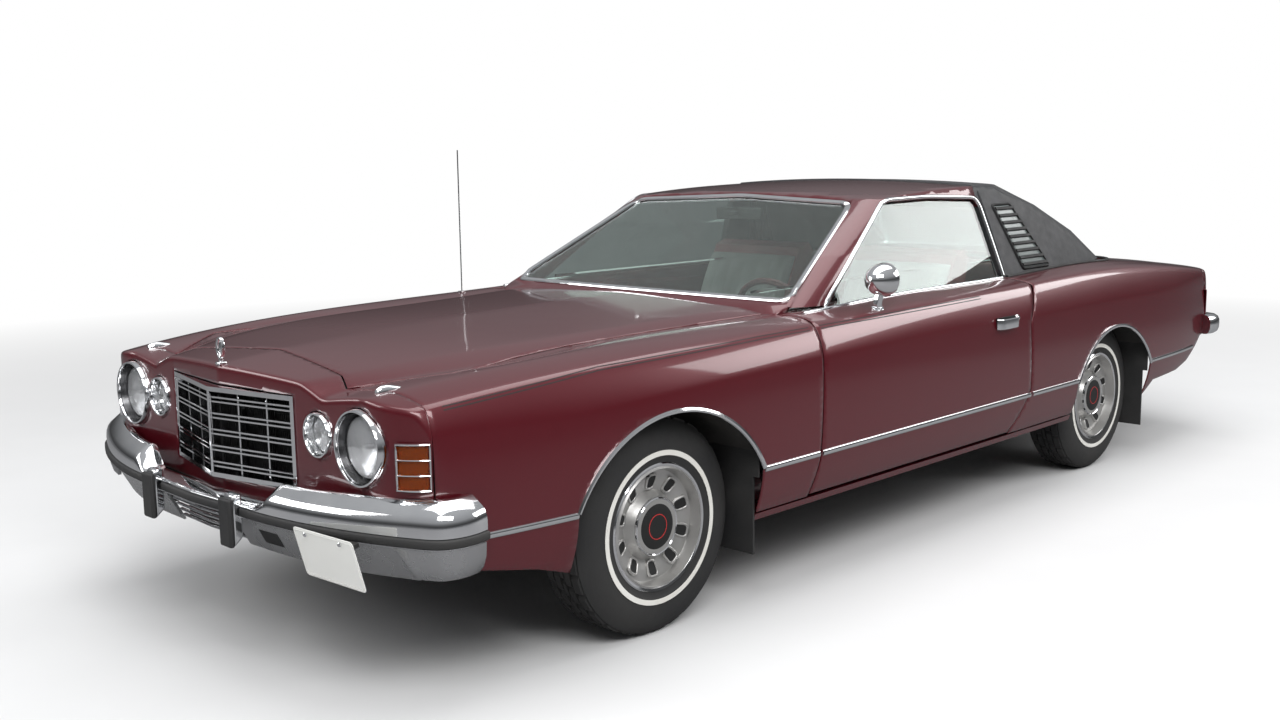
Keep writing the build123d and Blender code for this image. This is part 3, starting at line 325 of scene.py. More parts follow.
def pad(length, width, thick, channels, depth=7, sections=(40, 48)):
    """A stuffed pad on the XY plane, crowned upwards, with channels sewn along X."""
    rows, columns = sections
    upper, lower = [], []
    for i in range(rows + 1):
        u = -1 + 2 * i / rows
        for j in range(columns + 1):
            v = -1 + 2 * j / columns
            round_u, round_v = math.sin(u * math.pi / 2), math.sin(v * math.pi / 2)
            swell = ((1 - round_u**6) * (1 - round_v**6)) ** 0.4
            seam = depth * abs(math.cos(math.pi * channels * v / 2)) ** 10 * (1 - u**4) if channels else 0
            x, y = round_u * length / 2, round_v * width / 2
            upper.append((x, y, (thick - seam) * swell + 8 * (1 - u**2) * (1 - v**2) - 8))
            lower.append((x, y, -10 - 14 * swell))
    count = columns + 1
    faces = []
    for i in range(rows):
        for j in range(columns):
            a = i * count + j
            faces.append((a, a + 1, a + count + 1, a + count))
    shape = Shape(upper, faces)
    total = len(upper)
    shape.points += lower
    shape.faces += [tuple(index + total for index in face[::-1]) for face in faces]
    rim = [j for j in range(count)] + [i * count + columns for i in range(1, rows + 1)]
    rim += [rows * count + j for j in range(columns - 1, -1, -1)] + [i * count for i in range(rows - 1, 0, -1)]
    for a, b in zip(rim, rim[1:] + rim[:1]):
        shape.faces.append((b, a, a + total, b + total))
    return shape


# The lower body's smooth surface, and its panels


def arch_path(axle_x, arch, steps=28):
    """The edge of a wheel arch in side view, from its front foot over the top to its rear foot."""
    half, foot_z, top_z = arch
    rise = top_z - foot_z
    radius = (half**2 + rise**2) / (2 * rise)
    reach = math.degrees(math.asin(half / radius))
    return arc((axle_x, top_z - radius), radius, 90 - reach, 90 + reach, steps)


def natural_cubic(places, values):
    """A function that runs a smooth curve through rows of values at given places."""
    places = np.array(places, float)
    values = np.array(values, float)
    step = np.diff(places)
    count = len(places)
    system = np.eye(count)
    known = np.zeros_like(values)
    slope = np.diff(values, axis=0) / step[:, None]
    for k in range(1, count - 1):
        system[k, k - 1: k + 2] = step[k - 1], 2 * (step[k - 1] + step[k]), step[k]
        known[k] = 6 * (slope[k] - slope[k - 1])
    bend = np.linalg.solve(system, known)

    def value(place):
        k = int(np.clip(np.searchsorted(places, place) - 1, 0, count - 2))
        a = (places[k + 1] - place) / step[k]
        b = 1 - a
        curve = ((a**3 - a) * bend[k] + (b**3 - b) * bend[k + 1]) * step[k] ** 2 / 6
        return a * values[k] + b * values[k + 1] + curve

    return value


def softened(points, width, turn_over):
    """A run of (y, z) points with its corners rounded, and the length along it at each point."""
    points = np.array(points, float)
    along = np.concatenate([[0], np.cumsum(np.linalg.norm(np.diff(points, axis=0), axis=1))])
    fine = np.arange(-4 * width, along[-1] + 4 * width, 2.5)
    inside = np.clip(fine, 0, along[-1])
    y = np.interp(inside, along, points[:, 0])
    z = np.interp(inside, along, points[:, 1])
    before, beyond = fine < 0, fine > along[-1]
    start = (points[1] - points[0]) / along[1]
    y[before] += start[0] * fine[before]
    z[before] += start[1] * fine[before]
    if turn_over:
        back = 2 * along[-1] - fine[beyond]
        y[beyond] = -np.interp(back, along, points[:, 0])
        z[beyond] = np.interp(back, along, points[:, 1])
    else:
        end = (points[-1] - points[-2]) / (along[-1] - along[-2])
        y[beyond] += end[0] * (fine[beyond] - along[-1])
        z[beyond] += end[1] * (fine[beyond] - along[-1])
    reach = np.arange(-3 * width, 3 * width + 1, 2.5)
    weight = np.exp(-((reach / width) ** 2) / 2)
    weight /= weight.sum()
    y = np.convolve(y, weight, "same")
    z = np.convolve(z, weight, "same")
    return np.stack([np.interp(along, fine, y), np.interp(along, fine, z)], 1), along


def circle_through(points):
    """The centre and radius of a circle through three points."""
    (ax, ay), (bx, by), (cx, cy) = points
    system = 2 * np.array([(bx - ax, by - ay), (cx - ax, cy - ay)], float)
    known = np.array([bx**2 - ax**2 + by**2 - ay**2, cx**2 - ax**2 + cy**2 - ay**2], float)
    centre = np.linalg.solve(system, known)
    return centre, math.dist(centre, points[0])


CORNERS = [(circle_through(corner), corner) for corner in (NOSE_CORNER, TAIL_CORNER)]


def corner_limit(x):
    """How far out the body reaches at x, where a rounded corner of nose or tail cuts it."""
    for ((centre_x, centre_y), radius), corner in CORNERS:
        low, high = sorted((corner[0][0], corner[-1][0]))
        if low <= x <= high:
            return centre_y + math.sqrt(max(radius**2 - (x - centre_x) ** 2, 0))
    return None


def wall_x(y, line, corner):
    """Where the end wall of nose or tail stands at y."""
    if y <= line[-1][1]:
        return float(np.interp(y, [p[1] for p in line], [p[0] for p in line]))
    (centre_x, centre_y), radius = circle_through(corner)
    sign = 1 if corner[0][0] > 0 else -1
    return centre_x + sign * math.sqrt(max(radius**2 - (y - centre_y) ** 2, 0))


class BodySurface:
    """The smooth left side of the lower body, as a place along the car and a height round its section."""

    def __init__(self):
        rows = np.array(SECTIONS, float)
        self.values = natural_cubic(rows[:, 0], rows[:, 1:])
        self.known = {}
        marks = [0]
        for count in SECTION_ROWS:
            marks.append(marks[-1] + count)
        self.shoulder, self.crease = marks[3], marks[2]
        _, self.levels = self.measured(300)
        self.top_level = self.levels[-1]
        self.shoulder_level = self.levels[self.shoulder]

    def measured(self, x):
        """The section at x: its (y, z) points from the foot up and over to the centre, and their lengths."""
        key = round(float(x), 1)
        if key not in self.known:
            half, crease_z, *upper, centre_z = self.values(x)
            corners = [
                (half - ROCKER_TUCK, ROCKER_Z), (half, TRIM_Z), (half - CREASE_TUCK, crease_z),
                *zip(upper[::2], upper[1::2]), (0, centre_z),
            ]
            points = []
            for start, end, bulge, count in zip(corners[:-1], corners[1:], SECTION_BULGES, SECTION_ROWS):
                start, end = np.array(start), np.array(end)
                chord = end - start
                out = np.array([chord[1], -chord[0]]) / np.linalg.norm(chord)
                for step in range(count):
                    part = step / count
                    points.append(start + chord * part + out * 4 * bulge * part * (1 - part))
            points.append(np.array(corners[-1]))
            self.known[key] = softened(points, EDGE_SOFTNESS, True)
        return self.known[key]

    def at(self, x, level):
        """The point of the surface at a level round the section, within the ends' rounded corners."""
        points, _ = self.measured(x)
        y = float(np.interp(level, self.levels, points[:, 0]))
        limit = corner_limit(x)
        if limit and y > limit - 12:
            y -= 2 * math.log1p(math.exp((y - limit) / 2))
        return x, y, float(np.interp(level, self.levels, points[:, 1]))

    def level_at_height(self, x, z):
        """The level at which the side reaches a height."""
        points, _ = self.measured(x)
        last = self.shoulder + (18 if abs(x) < 1100 else 6)
        return float(np.interp(z, points[:last, 1], self.levels[:last]))

    def level_at_width(self, x, y):
        """The level at which the top is a distance from the centre plane."""
        points, _ = self.measured(x)
        first = self.crease
        return float(np.interp(-y, -points[first:, 0], self.levels[first:]))

    def top(self, x, y):
        """The height of the upper surface."""
        return self.at(x, self.level_at_width(x, y))[2]

    def side(self, x, z):
        """The half width of the side."""
        return self.at(x, self.level_at_height(x, z))[1]

    def along_side(self, points, spacing=20):
        """Places and outward normals on the left side, along a side view line."""
        places, normals = [], []
        for x, level in by_height(points, spacing):
            ahead = Vector(self.at(x + 6, level)) - Vector(self.at(x - 6, level))
            upward = Vector(self.at(x, level + 6)) - Vector(self.at(x, level - 6))
            places.append(Vector(self.at(x, level)))
            normals.append(upward.cross(ahead).normalized())
        return places, normals


BODY = BodySurface()


def by_height(points, spacing=16):
    """A side view line of (x, z) as places on the body surface."""
    return [(x, BODY.level_at_height(x, z)) for x, z in resampled(points, spacing)]


def by_width(points, spacing=16):
    """A plan view line of (x, y) as places on the body surface."""
    return [(x, BODY.level_at_width(x, y)) for x, y in resampled(points, spacing)]


def within(points, loop):
    """Which of the points lie inside a closed loop."""
    points, loop = np.array(points, float), np.array(loop, float)
    inside = np.zeros(len(points), bool)
    for start, end in zip(loop, np.roll(loop, -1, 0)):
        if start[1] == end[1]:
            continue
        crossing = (start[1] > points[:, 1]) != (end[1] > points[:, 1])
        at = start[0] + (points[:, 1] - start[1]) * (end[0] - start[0]) / (end[1] - start[1])
        inside ^= crossing & (points[:, 0] < at)
    return inside


def clear_of(points, loop, distance):
    """Which of the points keep a distance from a closed loop."""
    points, loop = np.array(points, float), np.array(loop, float)
    keep = np.ones(len(points), bool)
    for start, end in zip(loop, np.roll(loop, -1, 0)):
        run = end - start
        length = run @ run
        if length == 0:
            continue
        part = np.clip((points - start) @ run / length, 0, 1)
        keep &= np.linalg.norm(points - start - part[:, None] * run, axis=1) > distance
    return keep


def tiled(outline, grid, holes=(), clearance=5):
    """Flat triangles that fill an outline round its holes, through the grid points inside."""
    grid = np.array(grid, float)
    keep = within(grid, outline) & clear_of(grid, outline, clearance)
    for hole in holes:
        keep &= ~within(grid, hole) & clear_of(grid, hole, clearance)
    points = [Vector(point) for point in grid[keep]]
    edges = []
    for loop in (outline, *holes):
        start = len(points)
        points += [Vector(point) for point in loop]
        edges += [(start + k, start + (k + 1) % len(loop)) for k in range(len(loop))]
    made, _, faces, _, _, _ = delaunay_2d_cdt(points, edges, [], 0, 1e-3)
    flat = np.array([tuple(point) for point in made])
    middles = np.array([flat[list(face)].mean(0) for face in faces])
    inside = within(middles, outline)
    for hole in holes:
        inside &= ~within(middles, hole)
    return flat, [tuple(face) for face, kept in zip(faces, inside) if kept]



def curved(start, middle, end, steps):
    """Points of the arc through three plan points."""
    (centre_x, centre_y), radius = circle_through([start, middle, end])
    first, last = [math.atan2(y - centre_y, x - centre_x) for x, y in (start, end)]
    if last - first > math.pi:
        last -= 2 * math.pi
    if first - last > math.pi:
        last += 2 * math.pi
    turn = [first + (last - first) * step / steps for step in range(steps + 1)]
    return [(centre_x + radius * math.cos(a), centre_y + radius * math.sin(a)) for a in turn]


def inset(outline, distance):
    """A closed outline of pairs moved inwards by a distance."""
    points = np.array(outline, float)
    ahead = np.roll(points, -1, 0) - points
    ahead /= np.linalg.norm(ahead, axis=1)[:, None]
    area = np.sum(points[:, 0] * np.roll(points[:, 1], -1) - np.roll(points[:, 0], -1) * points[:, 1])
    sign = 1 if area > 0 else -1
    normal = np.stack([-ahead[:, 1], ahead[:, 0]], 1) * sign
    made = []
    for k in range(len(points)):
        first, second = normal[k - 1], normal[k]
        move = (first + second) / (1 + first @ second)
        made.append(tuple(points[k] + move * distance))
    return made


def skin(outline, spacing=28, clearance=5):
    """The part of the body surface inside an outline of places on it."""
    outline = [point for k, point in enumerate(outline) if math.dist(point, outline[k - 1]) > 0.5]
    xs = [x for x, _ in outline]
    stations = np.arange(min(xs), max(xs), spacing)
    grid = [(x, level) for x in stations for level in BODY.levels]
    flat, faces = tiled(outline, grid, (), clearance)
    return Shape([BODY.at(x, level) for x, level in flat], faces)


class EndSurface:
    """The left half of the nose or tail: its upper surface, the rounded edge and the upright wall."""

    def __init__(self, line, corner, seam, foot_z, last_y):
        self.line, self.corner, self.seam, self.foot_z, self.last_y = line, corner, seam, foot_z, last_y
        self.sign = 1 if line[0][0] > 0 else -1
        self.known = {}

    def profile(self, y):
        """The section at y, with the length along it from its upper corner, and that corner's height."""
        key = round(float(y), 1)
        if key not in self.known:
            wall = wall_x(key, self.line, self.corner)
            start = self.seam(key)
            count = max(3, int(abs(wall - start) / 6))
            upper = [(x, BODY.top(x, key)) for x in np.linspace(start, wall, count)]
            corner_z = upper[-1][1]
            lower = [(wall, z) for z in np.linspace(corner_z, self.foot_z, 40)[1:]]
            points, along = softened([*upper, *lower], 9, False)
            self.known[key] = points, along - along[count - 1], corner_z
        return self.known[key]

    def at(self, y, run):
        points, along, _ = self.profile(y)
        return float(np.interp(run, along, points[:, 0])), y, float(np.interp(run, along, points[:, 1]))

    def start(self, y):
        return self.profile(y)[1][0]

    def down(self, y, z):
        """The run at which the wall reaches a height."""
        return self.profile(y)[2] - z

    def sheet(self, inner, holes=()):
        """The surface from seam to foot; the inner loop closes the outline along the centre plane."""
        ys = [*np.arange(0, self.last_y - 60, 12), *np.arange(self.last_y - 60, self.last_y, 4), self.last_y]
        top = [(y, self.start(y)) for y in ys]
        foot = [(y, self.down(y, self.foot_z)) for y in reversed(ys)]
        opening = [inner[0][1], inner[-1][1]] if inner else [0, 0]
        rise = [(0, run) for run in np.arange(foot[-1][1] - 6, opening[0] + 3, -6)]
        header = [(0, run) for run in np.arange(opening[1] - 6, top[0][1] + 3, -6)]
        outline = [*top, *foot, *rise, *inner, *header]
        rows = [*np.arange(-260, -24, 16), *np.arange(-24, 25, 5), *np.arange(34, 420, 14)]
        flat, faces = tiled(outline, [(y, run) for y in ys for run in rows], holes, 3)
        return Shape([self.at(y, run) for y, run in flat], faces)


def nose_seam(y):
    """Where the nose panel ends on top: at the hood's opening, then at the fender's seam."""
    line = [*HOOD_FRONT, (NOSE_CUT_X + SEAM, 507), (NOSE_CUT_X + SEAM, 1000)]
    return float(np.interp(y, [p[1] for p in line], [p[0] for p in line]))


def tail_seam(y):
    return DECK_REAR_X if y < DECK_HALF else TAIL_CUT_X - SEAM


def last_width(line, corner, x):
    """The width at which an end wall has come round to x."""
    ys = np.arange(corner[0][1], corner[-1][1], 0.5)
    xs = np.array([wall_x(y, line, corner) for y in ys])
    return float(ys[np.argmin(abs(xs - x))])


NOSE = EndSurface(NOSE_LINE, NOSE_CORNER, nose_seam, 484, last_width(NOSE_LINE, NOSE_CORNER, NOSE_CUT_X + SEAM))
TAIL = EndSurface(TAIL_LINE, TAIL_CORNER, tail_seam, 514, last_width(TAIL_LINE, TAIL_CORNER, TAIL_CUT_X - SEAM))


def ring(centre, radius, steps=48):
    (a, b) = centre
    return [(a + radius * math.cos(2 * math.pi * k / steps), b + radius * math.sin(2 * math.pi * k / steps))
            for k in range(steps)]


def nose_sheet():
    """The left half of the nose panel, open for the grille and the lamps."""
    half = GRILLE_HALF + 1
    across = np.arange(0, half, 15)
    below = [(y, NOSE.down(y, GRILLE_FOOT - 1)) for y in [*across, half]]
    side = [(half, NOSE.down(half, z)) for z in np.arange(GRILLE_FOOT + 15, GRILLE_TOP, 15)]
    above = [(y, NOSE.down(y, GRILLE_TOP + 1)) for y in [half, *across[::-1]]]
    holes = [
        [(y, NOSE.down(y, z)) for y, z in ring(lamp[:2], lamp[2])]
        for lamp in (OUTER_LAMP, INNER_LAMP)
    ]
    return NOSE.sheet([*below, *side, *above], holes)


def tail_sheet():
    """The left half of the tail panel with its lamp opening."""
    (y_low, y_high), (z_low, z_high) = TAIL_LAMP_Y, TAIL_LAMP_Z
    corners = resampled([(y_low, z_low), (y_high, z_low), (y_high, z_high), (y_low, z_high), (y_low, z_low)], 12)
    return TAIL.sheet([], [[(y, TAIL.down(y, z)) for y, z in corners[:-1]]])


def hood_line(gap):
    """The left half of the hood's outline in plan, from the centre of its front to that of its rear."""
    corner, waist, rear = HOOD_SIDE
    side = curved(corner, waist, rear, 60)
    full = [*HOOD_FRONT, *side]
    full += [(x, -y) for x, y in reversed(full) if y > 0]
    drawn = inset(full, gap) if gap else full
    count = len(HOOD_FRONT) + len(side)
    return drawn[:count], (drawn[count - 1][0], 0)


def hood_sheet():
    half, rear = hood_line(GAP)
    return skin([*by_width(half), *by_width([half[-1], rear])[1:], *by_width([rear, half[0]], 28)[1:-1]])


def deck_sheet():
    low, high, half = DECK_REAR_X + GAP, DECK_FRONT_X - GAP, DECK_HALF - GAP
    return skin(by_width([(high, 0), (high, half), (low, half), (low, 0), (high, 0)])[:-1])


def filler_sheet():
    return skin(by_width([(DECK_FRONT_X, 0), (DECK_FRONT_X, DECK_HALF), *FILLER_FOOT, (DECK_FRONT_X, 0)])[:-1])


def fender_sheet():
    """The left front fender."""
    half, foot_z, _ = FRONT_ARCH
    front_x = NOSE_CUT_X - SEAM
    side, _ = hood_line(0)
    side = side[len(HOOD_FRONT):]
    corner = (front_x, 507)
    belt_x = 856
    top = by_width([corner, *side, (belt_x, 709)])
    cut = [(x, z) for x, z in resampled([(belt_x + 2, 928), (920, 897), (960, 444), (990, SILL_Z)], 14)]
    rear = by_height(cut)
    sill_front = FRONT_AXLE_X - half
    low = by_height([(990, SILL_Z), (sill_front, SILL_Z), (sill_front, foot_z)])[1:-1]
    arch = by_height(arch_path(FRONT_AXLE_X, FRONT_ARCH)[::-1])
    front = FRONT_AXLE_X + half
    foot = by_height([(front, foot_z), (front, 290), (2150, 330), (front_x, 395)])[1:]
    rise = [(front_x, level) for level in BODY.levels if foot[-1][1] + 8 < level < top[0][1] - 8]
    return skin([*top, *rear, *low, *arch, *foot, *rise])


def door_sheet():
    """The outer panel of the left door, up to its belt."""
    outline = inset(DOOR_CUT, GAP)
    front = by_height([(864, 921), outline[1], outline[2], outline[3]])
    bottom = by_height([outline[3], outline[4]])[1:]
    rear = by_height([outline[4], outline[5], outline[6], (-556, 906)])[1:]
    corner = (-551, DOOR_BELT_Y)
    slant = by_width([(-565, 915), corner])[1:]
    belt = by_width([corner, (842, DOOR_BELT_Y)])[1:]
    return skin([*front, *bottom, *rear, *slant, *belt])


def quarter_sheet():
    """The left quarter panel."""
    half, foot_z, _ = REAR_ARCH
    rear_x = TAIL_CUT_X + SEAM
    front = by_height([(-575, 905), DOOR_CUT[6], DOOR_CUT[5], DOOR_CUT[4]])
    sill = REAR_AXLE_X + half
    low = by_height([DOOR_CUT[4], (sill, SILL_Z), (sill, foot_z)])[1:-1]
    arch = by_height(arch_path(REAR_AXLE_X, REAR_ARCH))
    back = REAR_AXLE_X - half
    foot = by_height([(back, foot_z), (back, 290), (-1727, 363), (-2016, 373), (-2154, 403), (-2362, 508),
                      (rear_x, 511)])[1:]
    top = by_width([(rear_x, DECK_HALF + 1), (-1737, DECK_HALF + 1), *CABIN_FOOT[::-1][1:], (-575, 912)])
    rise = [(rear_x, level) for level in BODY.levels if foot[-1][1] + 8 < level < top[0][1] - 8]
    return skin([*front, *low, *arch, *foot, *rise, *top])



# Finding places on the part's surfaces


class Skin:
    """The outer surface of some of the part's nodes, for laying trim on it."""

    def __init__(self, *names):
        points, faces = [], []
        for name in names:
            mesh = NODES[name].data
            start = len(points)
            points += [vertex.co / MM for vertex in mesh.vertices]
            faces += [tuple(index + start for index in face.vertices) for face in mesh.polygons]
        self.tree = BVHTree.FromPolygons(points, faces)

    def cast(self, origin, direction):
        place, normal, _, _ = self.tree.ray_cast(Vector(origin), Vector(direction))
        if place is None:
            return None
        if normal.dot(Vector(direction)) > 0:
            normal = -normal
        return place, normal

    def side(self, x, z):
        """The outermost point of the left side near a place, stepping over narrow gaps."""
        hits = [self.cast((x + shift, 1400, z), (0, -1, 0)) for shift in (0, 9, -9)]
        hits = [hit for hit in hits if hit and hit[0].y > 0] or [self.tree.find_nearest((x, 800, z))[:2]]
        place, normal = max(hits, key=lambda hit: hit[0].y)
        return Vector((x, place.y, z)), normal

    def top(self, x, y):
        hits = [self.cast((x + shift, y, 1700), (0, 0, -1)) for shift in (0, 9, -9)]
        place, normal = max((hit for hit in hits if hit), key=lambda hit: hit[0].z)
        return Vector((x, y, place.z)), normal

    def front(self, y, z):
        place, normal = self.cast((3200, y, z), (-1, 0, 0))
        return place, normal

    def along_side(self, points, spacing=25):
        found = [self.side(x, z) for x, z in resampled(points, spacing)]
        return [place for place, _ in found], [normal for _, normal in found]

    def along_top(self, points, spacing=25):
        found = [self.top(x, y) for x, y in resampled(points, spacing)]
        return [place for place, _ in found], [normal for _, normal in found]


LEFT_SIDE = Skin("fender_left", "door_left", "quarter_left", "nose_panel", "tail_panel", "rocker_panels")
CABIN = Skin("roof_panel", "landau_roof", "windshield", "rear_window", "door_glass_left")
UPPER = Skin("fender_left", "door_left", "quarter_left", "hood", "deck_lid", "nose_panel", "tail_panel",
             "deck_filler")


FENDER = fender_sheet()
QUARTER = quarter_sheet()
DOOR = door_sheet()
HOOD = hood_sheet()
DECK = deck_sheet()
FILLER = filler_sheet()
NOSE_SHEET = nose_sheet()
TAIL_SHEET = tail_sheet()


# Materials


class Nodes:
    """A short way to wire a material's nodes."""

    def __init__(self, name):
        self.material = bpy.data.materials.new(name)
        self.material.use_nodes = True
        self.tree = self.material.node_tree
        self.shader = self.tree.nodes["Principled BSDF"]
        self.place = self.node("ShaderNodeTexCoord").outputs["Object"]

    def node(self, kind, **settings):
        made = self.tree.nodes.new(kind)
        for key, value in settings.items():
            setattr(made, key, value)
        return made

    def link(self, source, target):
        self.tree.links.new(source, target)

    def noise(self, scale, detail=4, rough=0.55, stretch=(1, 1, 1)):
        mapping = self.node("ShaderNodeMapping")
        mapping.inputs["Scale"].default_value = stretch
        self.link(self.place, mapping.inputs["Vector"])
        made = self.node("ShaderNodeTexNoise")
        made.inputs["Scale"].default_value = scale
        made.inputs["Detail"].default_value = detail
        made.inputs["Roughness"].default_value = rough
        self.link(mapping.outputs["Vector"], made.inputs["Vector"])
        return made.outputs["Fac"]

    def cells(self, scale, feature="F1"):
        made = self.node("ShaderNodeTexVoronoi", feature=feature)
        made.inputs["Scale"].default_value = scale
        self.link(self.place, made.inputs["Vector"])
        return made.outputs["Distance"]

    def ranged(self, value, low, high, from_low=0.3, from_high=0.7):
        made = self.node("ShaderNodeMapRange")
        made.inputs["From Min"].default_value = from_low
        made.inputs["From Max"].default_value = from_high
        made.inputs["To Min"].default_value = low
        made.inputs["To Max"].default_value = high
        self.link(value, made.inputs["Value"])
        return made.outputs["Result"]

    def mixed(self, factor, first, second):
        made = self.node("ShaderNodeMix", data_type="RGBA")
        self.link(factor, made.inputs["Factor"])
        made.inputs["A"].default_value = (*first, 1)
        made.inputs["B"].default_value = (*second, 1)
        return made.outputs["Result"]

    def bump(self, height, strength, distance):
        made = self.node("ShaderNodeBump")
        made.inputs["Strength"].default_value = strength
        made.inputs["Distance"].default_value = distance
        self.link(height, made.inputs["Height"])
        self.link(made.outputs["Normal"], self.shader.inputs["Normal"])
        return made

    def set(self, **values):
        for key, value in values.items():
            self.shader.inputs[key.replace("_", " ")].default_value = value
        return self


def plain(name, colour, other, roughness, metallic=0.0, grain=240.0, depth=0.0004, strength=0.15, **extra):
    """A finish whose colour and roughness wander a little, with a fine grain."""
    nodes = Nodes(name)
    broad = nodes.noise(3.5)
    nodes.link(nodes.mixed(nodes.ranged(broad, 0, 1), colour, other), nodes.shader.inputs["Base Color"])
    low, high = roughness
    nodes.link(nodes.ranged(nodes.noise(14), low, high), nodes.shader.inputs["Roughness"])
    nodes.set(Metallic=metallic, **extra)
    nodes.bump(nodes.noise(grain, 3), strength, depth)
    return nodes.material


def paint_material():
    """Maroon metallic enamel under a clear coat, with fine flake and a trace of orange peel."""
    nodes = Nodes("maroon_enamel")
    flake = nodes.noise(2600, 1, 0.4)
    broad = nodes.noise(1.6, 3)
    colour = nodes.mixed(nodes.ranged(flake, 0, 1, 0.35, 0.75), (0.078, 0.0022, 0.0068), (0.128, 0.005, 0.0125))
    nodes.link(colour, nodes.shader.inputs["Base Color"])
    nodes.link(nodes.ranged(broad, 0.30, 0.36), nodes.shader.inputs["Roughness"])
    nodes.set(Metallic=0.25, Coat_Weight=1.0, Coat_Roughness=0.06, Coat_IOR=1.45)
    nodes.bump(nodes.noise(90, 2), 0.02, 0.0004)
    return nodes.material


def chrome_material():
    """Bright plate with faint haze and pitting."""
    nodes = Nodes("bright_chrome")
    haze = nodes.noise(9, 5)
    nodes.link(nodes.mixed(nodes.ranged(haze, 0, 1), (0.80, 0.81, 0.83), (0.90, 0.905, 0.91)),
               nodes.shader.inputs["Base Color"])
    nodes.link(nodes.ranged(nodes.noise(30, 4), 0.035, 0.11), nodes.shader.inputs["Roughness"])
    nodes.set(Metallic=1.0)
    nodes.bump(nodes.noise(700, 2), 0.03, 0.0002)
    return nodes.material


def vinyl_material(name, colour, other, roughness):
    """Grained vinyl: small rounded cells over a soft unevenness."""
    nodes = Nodes(name)
    cells = nodes.cells(420)
    nodes.link(nodes.mixed(nodes.ranged(nodes.noise(6), 0, 1), colour, other), nodes.shader.inputs["Base Color"])
    nodes.link(nodes.ranged(nodes.noise(25), *roughness), nodes.shader.inputs["Roughness"])
    nodes.bump(cells, 0.35, 0.0006)
    return nodes.material


def glass_material():
    """Tinted glass: clear through, darker at a slant, with a faint film."""
    nodes = Nodes("tinted_glass")
    film = nodes.noise(5, 3)
    nodes.link(nodes.mixed(nodes.ranged(film, 0, 1), (0.64, 0.74, 0.70), (0.69, 0.79, 0.75)),
               nodes.shader.inputs["Base Color"])
    nodes.link(nodes.ranged(nodes.noise(40), 0.0, 0.015), nodes.shader.inputs["Roughness"])
    nodes.set(Transmission_Weight=1.0, IOR=1.02, Coat_Weight=1.0, Coat_Roughness=0.01, Coat_IOR=1.5)
    return nodes.material


def lens_material(name, colour, flutes):
    """Moulded lens glass with upright flutes."""
    nodes = Nodes(name)
    wave = nodes.node("ShaderNodeTexWave", wave_type="BANDS", bands_direction="Y")
    wave.inputs["Scale"].default_value = flutes
    wave.inputs["Distortion"].default_value = 0.4
    nodes.link(nodes.place, wave.inputs["Vector"])
    nodes.shader.inputs["Base Color"].default_value = (*colour, 1)
    nodes.link(nodes.ranged(nodes.noise(20), 0.02, 0.07), nodes.shader.inputs["Roughness"])
    nodes.set(Transmission_Weight=0.9, IOR=1.45)
    nodes.bump(wave.outputs["Fac"], 0.25, 0.001)
    return nodes.material


PAINT = paint_material()
CHROME = chrome_material()
VINYL = vinyl_material("roof_vinyl", (0.020, 0.020, 0.022), (0.034, 0.034, 0.037), (0.48, 0.62))
GLASS = glass_material()
CLEAR_LENS = lens_material("clear_lens", (0.95, 0.96, 0.97), 55)
RED_LENS = lens_material("red_lens", (0.60, 0.012, 0.012), 40)
AMBER_LENS = lens_material("amber_lens", (0.95, 0.22, 0.015), 40)
RUBBER = plain("black_rubber", (0.020, 0.020, 0.021), (0.034, 0.033, 0.032), (0.55, 0.75), depth=0.0006)
TYRE = plain("tyre_rubber", (0.016, 0.016, 0.017), (0.030, 0.029, 0.028), (0.60, 0.82), grain=160, depth=0.0008)
WHITEWALL = plain("white_rubber", (0.66, 0.64, 0.59), (0.75, 0.74, 0.70), (0.55, 0.7))
SILVER = plain("wheel_silver", (0.46, 0.455, 0.44), (0.54, 0.53, 0.52), (0.30, 0.42), metallic=0.75)
DULL_CHROME = plain("valance_silver", (0.42, 0.425, 0.43), (0.52, 0.52, 0.53), (0.22, 0.32), metallic=0.9, strength=0.05)
CHASSIS = plain("chassis_black", (0.018, 0.018, 0.018), (0.040, 0.036, 0.032), (0.55, 0.85), depth=0.001)
IRON = plain("engine_iron", (0.05, 0.06, 0.075), (0.09, 0.085, 0.08), (0.5, 0.8), metallic=0.3, depth=0.001)
STEEL = plain("exhaust_steel", (0.20, 0.185, 0.17), (0.33, 0.32, 0.31), (0.4, 0.65), metallic=0.9)
DASH = plain("dash_moulding", (0.060, 0.012, 0.016), (0.085, 0.018, 0.022), (0.45, 0.6))
SEAT = vinyl_material("seat_vinyl", (0.16, 0.022, 0.028), (0.21, 0.034, 0.040), (0.42, 0.58))
TRIM = vinyl_material("trim_vinyl", (0.11, 0.017, 0.021), (0.15, 0.025, 0.030), (0.45, 0.6))
CARPET = plain("carpet", (0.060, 0.010, 0.013), (0.10, 0.02, 0.024), (0.9, 1.0), grain=900, depth=0.004,
               strength=0.8)
BLACK = plain("flat_black", (0.008, 0.008, 0.008), (0.014, 0.014, 0.014), (0.5, 0.7))
LOUVRE_GROUND = plain("louvre_ground", (0.13, 0.155, 0.15), (0.20, 0.225, 0.22), (0.15, 0.3))
BUCKET = plain("lamp_bucket_silver", (0.10, 0.10, 0.105), (0.17, 0.17, 0.175), (0.2, 0.3), metallic=0.9)
RED = plain("red_enamel", (0.45, 0.02, 0.02), (0.55, 0.03, 0.03), (0.3, 0.4))
PLATE_WHITE = plain("plate_enamel", (0.70, 0.70, 0.67), (0.77, 0.77, 0.74), (0.35, 0.5))
CLOTH = vinyl_material("seat_cloth", (0.26, 0.25, 0.25), (0.34, 0.33, 0.33), (0.7, 0.85))
REFLECTOR = plain("reflector_silver", (0.50, 0.50, 0.51), (0.60, 0.60, 0.61), (0.10, 0.18), metallic=1.0)

